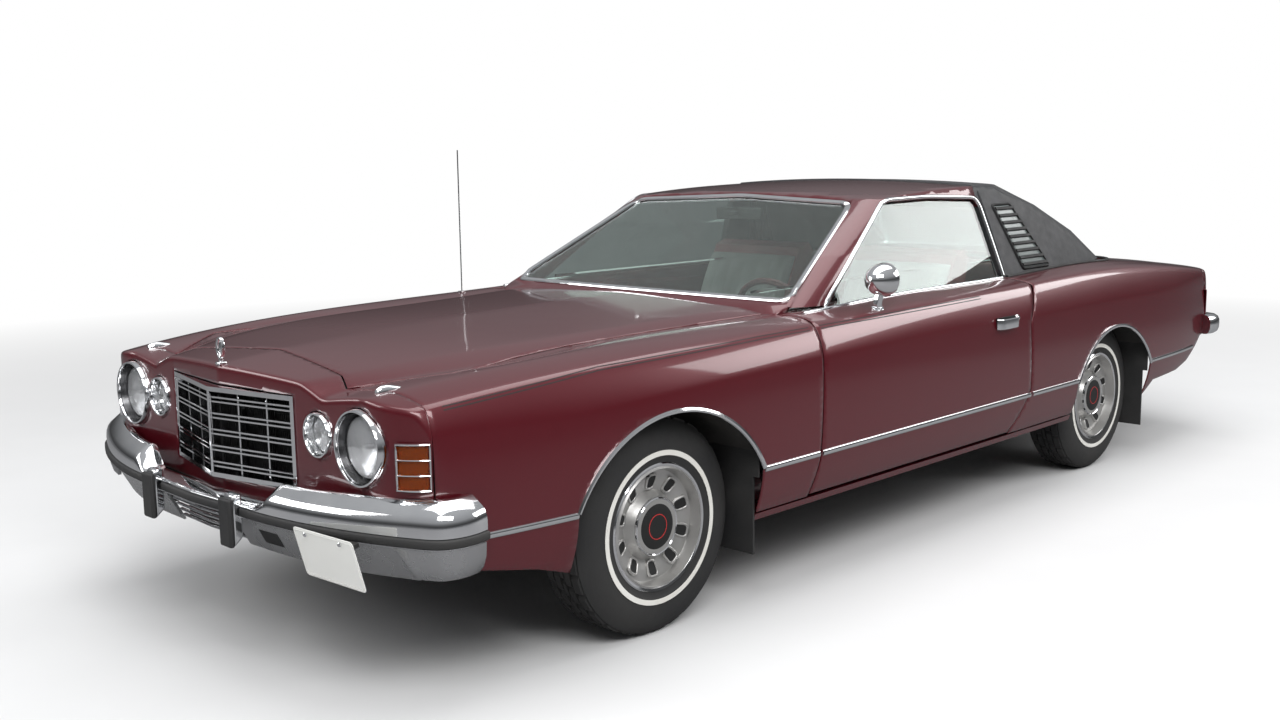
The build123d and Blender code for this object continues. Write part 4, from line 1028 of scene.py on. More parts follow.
FINISH = {
    "paint": PAINT, "vinyl": VINYL, "chrome": CHROME, "dull_chrome": DULL_CHROME, "glass": GLASS,
    "lamp": CLEAR_LENS, "red_lens": RED_LENS, "amber_lens": AMBER_LENS, "rubber": RUBBER, "tyre": TYRE,
    "wheel_silver": SILVER, "chassis_black": CHASSIS, "iron": IRON, "exhaust_steel": STEEL, "dash": DASH,
    "seat_vinyl": SEAT, "trim_vinyl": TRIM,
}


# Making pieces


def piece(name, shape, material, body, slot, smooth=32, bevel=0.0):
    """One finished mesh of a shape, riding on a body."""
    mesh = bpy.data.meshes.new(name)
    mesh.from_pydata([(float(x) * MM, float(y) * MM, float(z) * MM) for x, y, z in shape.points], [], shape.faces)
    mesh.materials.append(material)
    work = bmesh.new()
    work.from_mesh(mesh)
    bmesh.ops.recalc_face_normals(work, faces=work.faces)
    work.to_mesh(mesh)
    work.free()
    mesh.shade_smooth()
    mesh.set_sharp_from_angle(angle=math.radians(smooth))
    made = bpy.data.objects.new(name, mesh)
    bpy.context.scene.collection.objects.link(made)
    if bevel:
        edge = made.modifiers.new("edges", "BEVEL")
        edge.width = bevel * MM
        edge.segments = 2
        edge.limit_method = "ANGLE"
        edge.angle_limit = math.radians(35)
    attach(made, body)
    return made


def paired(name, shape, material, body, slot, **finish):
    """A left piece and its right twin, each on its own side's body."""
    bodies = (body, body.replace("left", "right"))
    piece(f"{name}_left", shape, material, bodies[0], slot, **finish)
    piece(f"{name}_right", shape.mirrored(), material, bodies[1], slot, **finish)


def both(name, shape, material, body, slot, **finish):
    """A left shape and its mirror image as one piece on one body."""
    return piece(name, joined([shape, shape.mirrored()]), material, body, slot, **finish)


def polished(node, material=None, smooth=26):
    """The part's own surface with its triangles joined and shaded smooth, standing for the node."""
    mesh = NODES[node].data.copy()
    work = bmesh.new()
    work.from_mesh(mesh)
    bmesh.ops.remove_doubles(work, verts=work.verts, dist=2e-5)
    work.to_mesh(mesh)
    work.free()
    mesh.materials.clear()
    mesh.materials.append(material or FINISH[SLOT_OF[node]])
    mesh.shade_smooth()
    mesh.set_sharp_from_angle(angle=math.radians(smooth))
    made = bpy.data.objects.new(f"{node}_shown", mesh)
    bpy.context.scene.collection.objects.link(made)
    weigh = made.modifiers.new("normals", "WEIGHTED_NORMAL")
    weigh.keep_sharp = True
    weigh.weight = 60
    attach(made, BODY_OF[node])
    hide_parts(node)
    return made


def pressed(name, shape, body, replaced, halves=False, material=None):
    """A panel pressed from a sheet: a left half with its mirror image, or one side's panel."""
    if halves:
        shape = joined([shape, shape.mirrored()])
    made = piece(name, shape, material or PAINT, body, "paint", smooth=40)
    mesh = made.data
    work = bmesh.new()
    work.from_mesh(mesh)
    bmesh.ops.remove_doubles(work, verts=work.verts, dist=2e-4)
    bmesh.ops.recalc_face_normals(work, faces=work.faces)
    middle = Vector((0, 0, 0.5))
    outward = sum(face.normal.dot(face.calc_center_median() - middle) * face.calc_area()
                  for face in work.faces)
    if outward < 0:
        bmesh.ops.reverse_faces(work, faces=work.faces)
    work.to_mesh(mesh)
    work.free()
    mesh.shade_smooth()
    mesh.set_sharp_from_angle(angle=math.radians(40))
    wall = made.modifiers.new("wall", "SOLIDIFY")
    wall.thickness = PANEL * MM
    wall.offset = -1
    weigh = made.modifiers.new("normals", "WEIGHTED_NORMAL")
    weigh.keep_sharp = True
    weigh.weight = 95
    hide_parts(replaced)
    return made


def pillar_feet():
    """The painted corners between the windshield pillars' feet, the fenders and the doors."""
    corner = skin(by_width([(857, 690), (857, 783), (640, 783), (660, 752), (760, 700), (857, 690)], 12)[:-1], 14, 3)
    for side, shape in (("left", corner), ("right", corner.mirrored())):
        made = piece(f"pillar_foot_{side}", shape, PAINT, "body", "paint", smooth=40)
        wall = made.modifiers.new("wall", "SOLIDIFY")
        wall.thickness = 3 * MM
        wall.offset = 0


def body_panels():
    """The painted panels of the lower body."""
    for side in ("left", "right"):
        for name, shape, body in (
            ("fender", FENDER, "body"), ("quarter", QUARTER, "body"), ("door", DOOR, f"door_{side}"),
        ):
            flipped = shape if side == "left" else shape.mirrored()
            pressed(f"{name}_panel_{side}", flipped, body, f"{name}_{side}")
    pressed("hood_panel", HOOD, "hood", "hood", True)
    pressed("deck_lid_panel", DECK, "deck_lid", "deck_lid", True)
    pressed("deck_filler_panel", FILLER, "body", "deck_filler", True)
    pressed("nose_skin", NOSE_SHEET, "body", "nose_panel", True)
    pressed("tail_skin", TAIL_SHEET, "body", "tail_panel", True)


def door_inside(side):
    """The edges, the window ledge and the lined inner face of a door, drawn in under its outer panel."""
    sign = 1 if side == "left" else -1
    outer = BVHTree.FromPolygons(DOOR.points, DOOR.faces)
    mesh = NODES[f"door_{side}"].data.copy()
    work = bmesh.new()
    work.from_mesh(mesh)
    bmesh.ops.remove_doubles(work, verts=work.verts, dist=2e-5)
    for vertex in work.verts:
        here = Vector((vertex.co.x, vertex.co.y * sign, vertex.co.z)) / MM
        near, normal, _, distance = outer.find_nearest(here)
        if distance < PANEL + 2:
            if normal.dot((0, 1, 0.4)) < 0:
                normal = -normal
            here = near - normal * (PANEL + 2)
            vertex.co = Vector((here.x, here.y * sign, here.z)) * MM
    work.normal_update()
    for face in work.faces:
        face.material_index = 1 if face.normal.y * sign < -0.3 else 0
    work.to_mesh(mesh)
    work.free()
    mesh.materials.clear()
    mesh.materials.append(PAINT)
    mesh.materials.append(TRIM)
    mesh.shade_smooth()
    mesh.set_sharp_from_angle(angle=math.radians(26))
    made = bpy.data.objects.new(f"door_inside_{side}", mesh)
    bpy.context.scene.collection.objects.link(made)
    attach(made, f"door_{side}")


def door_fittings():
    """Arm rests, inside levers and a bright strip on the doors' inner faces."""
    rest = softcornered([(330, 600), (300, 648), (-250, 660), (-300, 640), (-290, 590), (310, 575)], 16, True)
    count = len(rest)
    points = [(x, y, z) for y in (852, 804) for x, z in rest]
    faces = [tuple(range(count)), tuple(range(count, 2 * count))]
    faces += [(k, (k + 1) % count, (k + 1) % count + count, k + count) for k in range(count)]
    paired("arm_rest", Shape(points, faces), TRIM, "door_left", "trim_vinyl", bevel=9)
    lever = block((236, 826, 672), (352, 836, 686)).add(block((330, 832, 666), (356, 852, 692)))
    paired("inside_lever", lever, CHROME, "door_left", "chrome", bevel=3)
    winder = lathe([(0, 12), (15, 11), (19, 6), (19, 0), (0, 0)], (60, 850, 520), (0, -1, 0), 32)
    winder.add(block((52, 832, 420), (68, 840, 524))).add(block((50, 806, 414), (70, 840, 434)))
    paired("window_winder", winder, CHROME, "door_left", "chrome", bevel=2)


def dress_nodes():
    """The finish of each node that is shown as it is, and smooth copies of the glossy ones."""
    made_here = {f"{kind}_{end}_{side}" for kind in ("tyre", "rim") for end in ("front", "rear")
                 for side in ("left", "right")} | {"front_lamps", "grille", "steering_wheel"}
    made_here |= {"hood", "deck_lid", "deck_filler", "nose_panel", "tail_panel", "front_bumper", "rear_bumper", "bumper_guards",
                  "door_mirror", "bumper_strip", "front_valance"}
    made_here |= {f"{kind}_{side}" for kind in ("fender", "quarter", "door") for side in ("left", "right")}
    as_it_is = {"chassis_black", "iron", "exhaust_steel"}
    for node, thing in NODES.items():
        if node in made_here:
            continue
        if node == "roof_panel":
            roof = polished(node, smooth=70)
            for vertex in roof.data.vertices:
                if vertex.co.x > 0.6 and abs(vertex.co.z / MM - PILLAR_CUT_Z) < 1:
                    vertex.co.z = PILLAR_FOOT_Z * MM
        elif SLOT_OF[node] in as_it_is:
            thing.data.materials.clear()
            thing.data.materials.append(FINISH[SLOT_OF[node]])
        else:
            polished(node)


# Wheels


def tyre_shape():
    """A tyre about the Y axis at the origin, outer side towards +Y, with grooved tread."""
    half = TYRE_HALF
    outer_wall = [(194, 84), (199, 90), (212, 94), (219, 96), (222, 98.5), (240, 98.5), (243, 97), (262, 97.5),
                  (285, 95), (308, 88), (322, 80), (331, 72)]
    ribs = [(66, 40), (34, 12), (6, -6), (-12, -34), (-40, -66)]
    tread = []
    for start, end in ribs:
        tread += [(330, start + 1), (337.5 if abs(start) > 50 else 339.5, start),
                  (337.5 if abs(end) > 50 else 339.5, end), (330, end - 1)]
    inner_wall = [(radius, -along) for radius, along in reversed(outer_wall)]
    profile = outer_wall + tread + inner_wall + [(194, -60), (194, 60)]
    steps = 180
    shape = lathe(profile, (0, 0, 0), (0, 1, 0), steps)
    count = len(profile)
    first = len(outer_wall)
    last = first + len(tread)
    points = []
    for index, (x, y, z) in enumerate(shape.points):
        step, row = divmod(index, count)
        rib = (row - first) // 4
        sipe = first <= row < last and (step + rib * 2) % 6 == 0
        scale = 332 / 339.5 if sipe and math.hypot(x, z) > 334 else 1
        points.append((x * scale, y, z * scale))
    return Shape(points, shape.faces)


def wheels():
    """Tyre, wall band, disc, trim ring and centre cap of the four wheels."""
    tyre = tyre_shape()
    band = lathe([(223, 98.2), (224, 99.3), (239, 99.3), (240, 98.2)], (0, 0, 0), steps=180)
    ring = lathe([(174, 55), (176, 62), (184, 84), (190, 93), (197, 95), (201, 92), (203, 86), (198, 80),
                  (188, 70)], (0, 0, 0), steps=120)
    cap_ring = lathe([(84, 72), (85, 80), (88, 82.5), (91, 80), (92, 62), (90, 50), (86, 50)], (0, 0, 0), steps=96)
    cap = lathe([(0, 84), (40, 84), (60, 82.5), (80, 78.5), (86, 76), (86, 66), (0, 66)], (0, 0, 0), steps=96)
    red_ring = lathe([(37, 83.6), (37.4, 84.9), (39.6, 84.9), (40, 83.4)], (0, 0, 0), steps=64)
    slot_rims, slot_shades = Shape(), Shape()
    outline = softcornered([(-17, 114), (17, 114), (21, 160), (-21, 160)], 16, True)
    for index in range(10):
        loop = [(x, 46 + (z - 110) * 0.36, z) for x, z in outline]
        rim = swept(loop, [(0, 1, -0.3)] * len(loop), round_profile(8, 4.5), True)
        slot_rims.add(rim.turned("Y", 36 * index))
        count = len(loop)
        # A black plate fills each slot: painted shade standing in for the dark view through the open slot
        ground = Shape([(x, y + lift, z) for lift in (-3, 1) for x, y, z in loop],
                       [tuple(range(count)), tuple(range(count, 2 * count))])
        ground.faces += [(k, (k + 1) % count, (k + 1) % count + count, k + count) for k in range(count)]
        slot_shades.add(ground.turned("Y", 36 * index))
    valve = tube([(26, 50, 162), (27, 62, 163), (27, 74, 162)], 4)
    for end, axle_x in (("front", FRONT_AXLE_X), ("rear", REAR_AXLE_X)):
        body = f"wheel_{end}_left"
        place = (axle_x, WHEEL_Y, AXLE_Z)
        rows = [
            ("tread_and_walls", tyre, TYRE, "tyre", 28),
            ("wall_band", band, WHITEWALL, "tyre", 28),
            ("trim_ring", ring, CHROME, "chrome", 28),
            ("cap_ring", cap_ring, CHROME, "chrome", 28),
            ("cap", cap, BLACK, "rubber", 28),
            ("cap_red_ring", red_ring, RED, "red_lens", 28),
            ("slot_rims", slot_rims, SILVER, "wheel_silver", 60),
            ("slot_shades", slot_shades, BLACK, "rubber", 30),
            ("valve", valve, BLACK, "rubber", 40),
        ]
        for name, shape, material, slot, smooth in rows:
            paired(f"{name}_{end}", shape.moved(*place), material, body, slot, smooth=smooth)
        for side in ("left", "right"):
            disc = polished(f"rim_{end}_{side}", SILVER)
            edge = disc.modifiers.new("edges", "BEVEL")
            edge.width = 2.5 * MM
            edge.segments = 3
            edge.limit_method = "ANGLE"
            edge.angle_limit = math.radians(50)
            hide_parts(f"tyre_{end}_{side}")


# Side trim


def side_trim():
    """The bright belt moulding in its lengths, and the arch mouldings."""
    moulding = round_profile(TRIM_HEIGHT, 6)
    lip = [(9, -3), (10, 2), (8, 6), (2, 7.5), (-5, 5), (-6, -3)]
    runs = [
        ("fender_front", 2400, FRONT_AXLE_X + FRONT_ARCH[0] + 4, "body"),
        ("fender_rear", FRONT_AXLE_X - FRONT_ARCH[0] - 4, 965, "body"),
        ("door", 948, -472, "door_left"),
        ("quarter_front", -492, REAR_AXLE_X + REAR_ARCH[0] + 4, "body"),
        ("quarter_rear", REAR_AXLE_X - REAR_ARCH[0] - 4, -2215, "body"),
    ]
    for name, start, end, body in runs:
        path, normals = BODY.along_side([(start, TRIM_Z), (end, TRIM_Z)], 30)
        paired(f"belt_moulding_{name}", swept(path, normals, moulding), CHROME, body, "chrome")
    for name, axle_x, arch in (("front", FRONT_AXLE_X, FRONT_ARCH), ("rear", REAR_AXLE_X, REAR_ARCH)):
        half, foot_z, top_z = arch
        grown = (half + 5, foot_z, top_z + 5)
        path, normals = BODY.along_side(arch_path(axle_x, grown, 60), 22)
        paired(f"arch_moulding_{name}", swept(path, normals, lip), CHROME, "body", "chrome")


def pinstripes():
    """The double stripe along the shoulder."""
    stripe = [(1.6, -0.5), (1.6, 0.35), (-1.6, 0.35), (-1.6, -0.5)]
    line = [(2543, 819, 820), (1900, 895, 875), (1195, 906, 890), (771, 925, 895), (-157, 932, 905)]
    for lift, name in ((0, "upper"), (-9, "lower")):
        outline = [(x, z + lift - 6) for x, y, z in line]
        for part, low, high, body in (("fender", 935, 2440, "body"), ("door", -150, 912, "door_left")):
            points = [(x, z) for x, z in resampled(outline, 20) if low <= x <= high]
            path, normals = BODY.along_side(points, 30)
            paired(f"stripe_{name}_{part}", swept(path, normals, stripe), BLACK, body, "rubber")


# Front


def sweep_back(x, y, z):
    """A place on the flat grille half, moved onto its side of the prow."""
    turn = math.radians(GRILLE_SWEEP)
    return (GRILLE_PROW_X + x * math.cos(turn) - y * math.sin(turn), x * math.sin(turn) + y * math.cos(turn),
            GRILLE_FOOT + z)


def grille_trim():
    """The bright grille, the black fins of the mesh behind it, and a black plate behind them that is painted shade
    inside the grille.
    """
    polished("grille", CHROME, smooth=20)
    width = GRILLE_HALF / math.cos(math.radians(GRILLE_SWEEP))
    height = GRILLE_TOP - GRILLE_FOOT
    # A solid black plate behind the fins: painted shade where the grille's inside lies in darkness
    back = block((-50, 2, 4), (-44, width - 4, height - 4)).mapped(sweep_back)
    fins = [block((-44, 8 + 7.5 * k, 8), (-38, 10 + 7.5 * k, height - 8)) for k in range(44)]
    both("grille_fins_and_shade", joined([back, *[fin.mapped(sweep_back) for fin in fins]]), BLACK, "body", "rubber")


def lamps():
    """Round lamps: chrome rim, bucket, reflector, bulb and lens."""
    for name, (y, z, radius), lens_radius in (("outer", OUTER_LAMP, 84), ("inner", INNER_LAMP, 52)):
        centre = (LAMP_X, y, z)
        ahead = (1, 0, 0)
        rim = lathe([(radius - 1, -20), (radius - 1, 8), (radius - 4, 15), (radius - 9, 15), (radius - 12, 8),
                     (radius - 12, -20)], centre, ahead)
        bucket = lathe([(radius - 12, 6), (lens_radius + 4, -18), (lens_radius + 2, -24), (lens_radius + 1, -30),
                        (radius - 6, -30), (radius - 6, 0)], centre, ahead)
        dish = [(lens_radius, -20)]
        dish += [(lens_radius * (1 - k / 8), -20 - 42 * (1 - (1 - k / 8) ** 2)) for k in range(1, 8)]
        reflector = lathe([*dish, (6, -63), (6, -66), (lens_radius, -26)], centre, ahead)
        dome = [(lens_radius * math.cos(math.radians(a)), -16 + 13 * math.sin(math.radians(a)))
                for a in range(0, 91, 10)]
        lens = lathe([*dome, (0, -6), (lens_radius - 3, -19)], centre, ahead)
        bulb = lathe([(0, -22), (6, -24), (9, -32), (8, -44), (0, -60)], centre, ahead, steps=32)
        both(f"lamp_rim_{name}", rim, CHROME, "body", "chrome")
        both(f"lamp_bucket_{name}", bucket, BUCKET, "body", "dull_chrome")
        both(f"lamp_reflector_{name}", reflector, REFLECTOR, "body", "chrome")
        shown = both(f"lamp_lens_{name}", lens, CLEAR_LENS, "body", "lamp")
        both(f"lamp_bulb_{name}", bulb, REFLECTOR, "body", "chrome")
        if name == "outer":
            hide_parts("front_lamps")


# Bumpers and what hangs on them


def bumper_line(reach):
    """A bumper's outer line in plan from the centre round to its left end, evenly spaced and smoothed."""
    start, low, middle, corner, end = [(reach + x, y) for x, y in BUMPER_LINE]
    bow = (reach - 252, 970)
    line = [*resampled([start, low], 12)[:-1], *curved(low, middle, corner, 48)[:-1], *curved(corner, bow, end, 12)]
    line = np.array(resampled(line, 12))
    for _ in range(6):
        line[1:-1] = (line[:-2] + 2 * line[1:-1] + line[2:]) / 4
    return line


def along_bumper(reach, section, first=0.0, last=math.inf):
    """A closed section of (out, z) that changes with y, carried along the part of a bumper's line."""
    line = bumper_line(reach)
    line = line[(line[:, 1] >= first - 0.1) & (line[:, 1] <= last)]
    points = []
    for k, (x, y) in enumerate(line):
        ahead = line[min(k + 1, len(line) - 1)] - line[max(k - 1, 0)]
        ahead = ahead / np.linalg.norm(ahead)
        if y < 1:
            ahead = np.array([0.0, 1.0])
        out = np.array([ahead[1], -ahead[0]])
        points += [(x + out[0] * d, max(y + out[1] * d, 0), z) for d, z in section(y)]
    count = len(section(0))
    faces = [
        (k * count + i, (k + 1) * count + i, (k + 1) * count + (i + 1) % count, k * count + (i + 1) % count)
        for k in range(len(line) - 1) for i in range(count)
    ]
    last_row = (len(line) - 1) * count
    faces.append(tuple(range(last_row, last_row + count)))
    if first > 0:
        faces.append(tuple(range(count)))
    return Shape(points, faces)


def front_section(y):
    """The front bumper's section at y: it steps up under the lamps and its upper face leans back."""
    top = 517 + 66 * smoothstep(y, 322, 398) + 14 * smoothstep(y, 420, 960)
    lean = min(max((top - 506) / 78, 0.12), 1.1)
    upper = [(-72, top - 12), (-71, top - 4), (-64, top - 0.5), (-54, top), (-44, top - 2 * lean),
             (-14, top - 26 * lean), (-6, top - 36 * lean), (-1.5, top - 48 * lean), (0, top - 60 * lean)]
    return [*upper, (0, 507), (-4, 505), (-4, 481), (0, 479), (-3, 474), (-12, 472), (-60, 472), (-66, 478)]


def end_cap_section(y):
    """The satin lower piece at the front bumper's end, tucked in below."""
    foot = 476 - 88 * smoothstep(y, 806, 872)
    return [(-5, 474), (-7, foot + (474 - foot) * 0.55), (-16, foot + (474 - foot) * 0.2), (-30, foot),
            (-40, foot + 2), (-26, 474)]


def rear_section(y):
    top = 585 + 28 * smoothstep(y, 0, 960)
    foot = 440 + 50 * smoothstep(y, 280, 700) + 20 * smoothstep(y, 700, 960)
    return [(-72, top - 12), (-70, top - 3), (-60, top), (-24, top - 6), (-8, top - 16), (-1, top - 32),
            (0, (top + foot) / 2), (-1, foot + 30), (-8, foot + 12), (-22, foot + 2), (-40, foot), (-66, foot + 8)]


def strip_section(y):
    """The black strip along the lower edge of the front bumper's face."""
    return [(-8, 481), (4, 481.5), (7, 485), (7.5, 493), (7, 501), (4, 504.5), (-8, 505)]


def flap_tops():
    """The upper lengths of the mud flaps, up behind the arches' rear feet."""
    for name, axle_x, arch, z in (("front", FRONT_AXLE_X, FRONT_ARCH, 438), ("rear", REAR_AXLE_X, REAR_ARCH, 418)):
        x = axle_x - arch[0] + 1
        both(f"flap_top_{name}", block((x, 724, z), (x + 7, 958, 575)), RUBBER, "body", "rubber", bevel=1)


def splash_panels():
    """The dark panels ahead of the wheels that close the arches inside."""
    for name, axle_x, arch, z in (("front", FRONT_AXLE_X, FRONT_ARCH, 300), ("rear", REAR_AXLE_X, REAR_ARCH, 324)):
        x = axle_x + arch[0] + 3
        edge = min(BODY.side(x + 5, z), BODY.side(x + 5, SPLASH_TOP)) - SPLASH_INSET
        panel = block((x, 724, z), (x + 5, edge, SPLASH_TOP))
        both(f"splash_panel_{name}", panel, CHASSIS, "body", "chassis_black", bevel=1)


def lid_braces():
    """The pressed ribs under the hood and the deck lid, and the lining of the trunk's sides."""
    rib = [(30, -4), (22, -19), (-22, -19), (-30, -4)]
    for name, crossings, lengthways, body in (
        ("hood", (1010, 1560, 2140), (230, 500), "hood"), ("deck_lid", (-1960, -2470), (300, 585), "deck_lid"),
    ):
        shape = Shape()
        reach = lengthways[-1]
        for x in crossings:
            path = [(x, y, BODY.top(x, y)) for y in np.arange(0, reach + 1, reach / 16)]
            shape.add(swept(path, [(0, 0, 1)] * len(path), rib))
        for y in lengthways:
            path = [(x, y, BODY.top(x, y)) for x in np.linspace(crossings[0], crossings[-1], 30)]
            shape.add(swept(path, [(0, 0, 1)] * 30, rib))
        both(f"{name}_ribs", shape, PAINT, body, "paint", smooth=30)
    lining = block((-2500, TRUNK_HALF - 8, 482), (-1930, TRUNK_HALF - 4, 800))
    both("trunk_lining", lining, TRIM, "body", "trim_vinyl", bevel=1)


def bumpers():
    """The chrome bars of both ends."""
    front = both("front_bar", along_bumper(FRONT_BUMPER_X, front_section), CHROME, "body", "chrome", smooth=48)
    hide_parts("front_bumper")
    both("bumper_end_caps", along_bumper(FRONT_BUMPER_X, end_cap_section, 806), DULL_CHROME, "body", "dull_chrome",
         smooth=48)
    strip = along_bumper(FRONT_BUMPER_X, strip_section, GUARD_Y[1] + 2)
    strip.add(along_bumper(FRONT_BUMPER_X, strip_section, 0, GUARD_Y[0] - 2))
    shown = both("rub_strip", strip, RUBBER, "body", "rubber", smooth=48)
    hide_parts("bumper_strip")
    turned = along_bumper(-REAR_BUMPER_X, rear_section).mapped(lambda x, y, z: (-x, y, z))
    rear = both("rear_bar", turned, CHROME, "body", "chrome", smooth=48)
    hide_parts("rear_bumper")


def guards():
    """Upright guards: a chrome horn with a rubber face."""
    low, high = GUARD_Y
    pieces = []
    for name, front_x, back_x, z_low, z_high, sign in (
        ("front", 2733, 2688, 393, 543, 1), ("rear", 2733, 2688, 431, 599, -1),
    ):
        side = [(back_x, z_low + 26), (front_x - 16, z_low), (front_x - 14, z_high - 14), (front_x - 22, z_high),
                (back_x, z_high)]
        points = [(sign * x, y, z) for y in (low + 3, high - 3) for x, z in side]
        count = len(side)
        faces = [tuple(range(count)), tuple(range(count, 2 * count))]
        faces += [(k, (k + 1) % count, (k + 1) % count + count, k + count) for k in range(count)]
        pieces.append(Shape(points, faces))
        face_low, face_high = sorted((sign * (front_x - 17), sign * front_x))
        face = block((face_low, low, z_low), (face_high, high, z_high - 10))
        both(f"guard_rubber_{name}", face, RUBBER, "body", "rubber", bevel=7)
    shown = both("guard_horns", joined(pieces), CHROME, "body", "chrome", bevel=6)
    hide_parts("bumper_guards")


def valance_section(y):
    """The satin panel under the front bumper, leaning back to its rolled foot."""
    return [(-10, 474), (-61, 377), (-66, 373), (-72, 375), (-70, 381), (-20, 474)]


def slot_section(y):
    """A black band just proud of the panel: painted shade standing in for the dark mouth of an air slot."""
    return [(-24, 447), (-46, 404), (-56, 404), (-34, 447)]


def valance():
    """The panel under the front bumper with black bands of painted shade for its slots, and the bright bars of the
    intake between the guards over a black block of painted shade.
    """
    shown = both("valance_panel", along_bumper(FRONT_BUMPER_X, valance_section, 196, 862), DULL_CHROME, "body",
                 "dull_chrome", smooth=40)
    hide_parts("front_valance")
    # Black bands on the panel: painted shade in place of open air slots
    both("valance_slot_shade", along_bumper(FRONT_BUMPER_X, slot_section, 300, 410), BLACK, "body", "rubber")
    for k, z in enumerate((392, 412, 432, 452)):
        path = [(x, y, z) for x, y in bumper_line(FRONT_BUMPER_X - 26 - 0.5 * (470 - z)) if y < 196]
        both(f"intake_bar_{k}", swept(path, [(1, 0, 0)] * len(path), round_profile(9, 7)), CHROME, "body", "chrome")
    # A black block behind the intake bars: painted shade filling the intake's opening
    both("intake_shade", block((2586, 0, 378), (2612, 204, 470)), BLACK, "body", "rubber")


def marker_frames():
    """The bright frame with two dividers round each side marker lamp."""
    low_x, high_x, low_z, high_z = 2480, 2537, 613, 735
    loop = resampled([(low_x, low_z), (high_x, low_z), (high_x, high_z), (low_x, high_z), (low_x, low_z)], 9)[:-1]
    found = [LEFT_SIDE.side(x, z) for x, z in loop]
    normals = [Vector((0.62, 0.78, 0))] * len(found)
    frame = swept([place for place, _ in found], normals, round_profile(8, 8), True)
    for part in (1 / 3, 2 / 3):
        z = low_z + (high_z - low_z) * part
        bar = [LEFT_SIDE.side(x, z)[0] for x in np.linspace(low_x, high_x, 7)]
        frame.add(swept(bar, normals[:7], round_profile(6, 8)))
    both("marker_frames", frame, CHROME, "body", "chrome")


# Cabin trim


def hoop(foot_x, head_x):
    """Points and normals over the cabin from its left foot to its right one."""
    found = []
    for degrees in range(3, 178, 3):
        angle = math.radians(degrees)
        from_foot = min(degrees, 180 - degrees)
        x = foot_x + (head_x - foot_x) * smoothstep(from_foot, 3, 58)
        ray = Vector((0, math.cos(angle), math.sin(angle)))
        found.append(CABIN.cast(Vector((x, 0, 905)) + ray * 1500, -ray))
    found = [hit for hit in found if hit]
    return [place for place, _ in found], [normal for _, normal in found]


def window_mouldings():
    """Bright mouldings round the windshield, the side glass, the rear window and along the belt."""
    screen = softcornered([(-724, 950), (724, 950), (570, 1266), (0, 1289), (-570, 1266)], 46, True)
    found = [CABIN.front(y, z) for y, z in resampled([*screen, screen[0]], 22)[:-1]]
    both_edges = [(11, -3), (12, 2), (8, 6), (2, 7), (-4, 7), (-9, 5), (-11, 1), (-11, -3)]
    path = [place for place, _ in found]
    normals = [normal for _, normal in found]
    piece("windshield_moulding", swept(path, normals, both_edges, True), CHROME, "body", "chrome")
    line = softcornered([(672, 922), (660, 945), (138, 1278), (-166, 1282), (-531, 1266), (-566, 924)], 52)
    path, normals = CABIN.along_side(line, 18)
    both("side_glass_moulding", swept(path, normals, round_profile(17, 8)), CHROME, "body", "chrome")
    rear = softcornered([(-553, 965), (553, 965), (469, 1190), (-469, 1190)], 40, True)
    found = [CABIN.cast((-3200, y, z), (1, 0, 0)) for y, z in resampled([*rear, rear[0]], 22)[:-1]]
    path = [place for place, _ in found]
    normals = [normal for _, normal in found]
    piece("rear_window_moulding", swept(path, normals, both_edges, True), CHROME, "body", "chrome")
    belt = [BODY.at(x, BODY.level_at_width(x, 797)) for x in np.arange(826, -546, -20)]
    paired("belt_cap", swept(belt, [(0, 0.35, 1)] * len(belt), round_profile(15, 8)), CHROME, "door_left", "chrome")


def cabin_foot(lift):
    """The line where the cabin meets the body, from the door round to the centre of the tail."""
    side = [(x, 794 + 7 * (1 - ((x + 357) / 1092) ** 2)) for x in np.arange(-572, -1440, -24)]
    line = [*side, *curved((-1450, 794), (-1644, 738), (-1792, 601), 20), *curved((-1794, 590), (-1830, 300), (-1843, 0), 24)]
    return [(x, y, BODY.top(x, y) + lift) for x, y in line]


def roof_trim():
    """Edges of the padded roof, its foot moulding and the frames round the louvres."""
    path, normals = hoop(-577, -540)
    piece("roof_edge_bead", swept(path, normals, round_profile(15, 6)), VINYL, "body", "vinyl")
    foot = cabin_foot(2)
    up = [(-0.3, 0.4, 0.9)] * len(foot)
    both("roof_foot_moulding", swept(foot, up, round_profile(15, 8)), BLACK, "body", "rubber")
    frame = softcornered([(-745, 956), (-636, 1230), (-787, 1230), (-977, 956)], 16, True)
    path, normals = CABIN.along_side([*frame, frame[0]], 16)
    both("louvre_frames", swept(path[:-1], normals[:-1], round_profile(13, 7), True), BLACK, "body", "rubber")


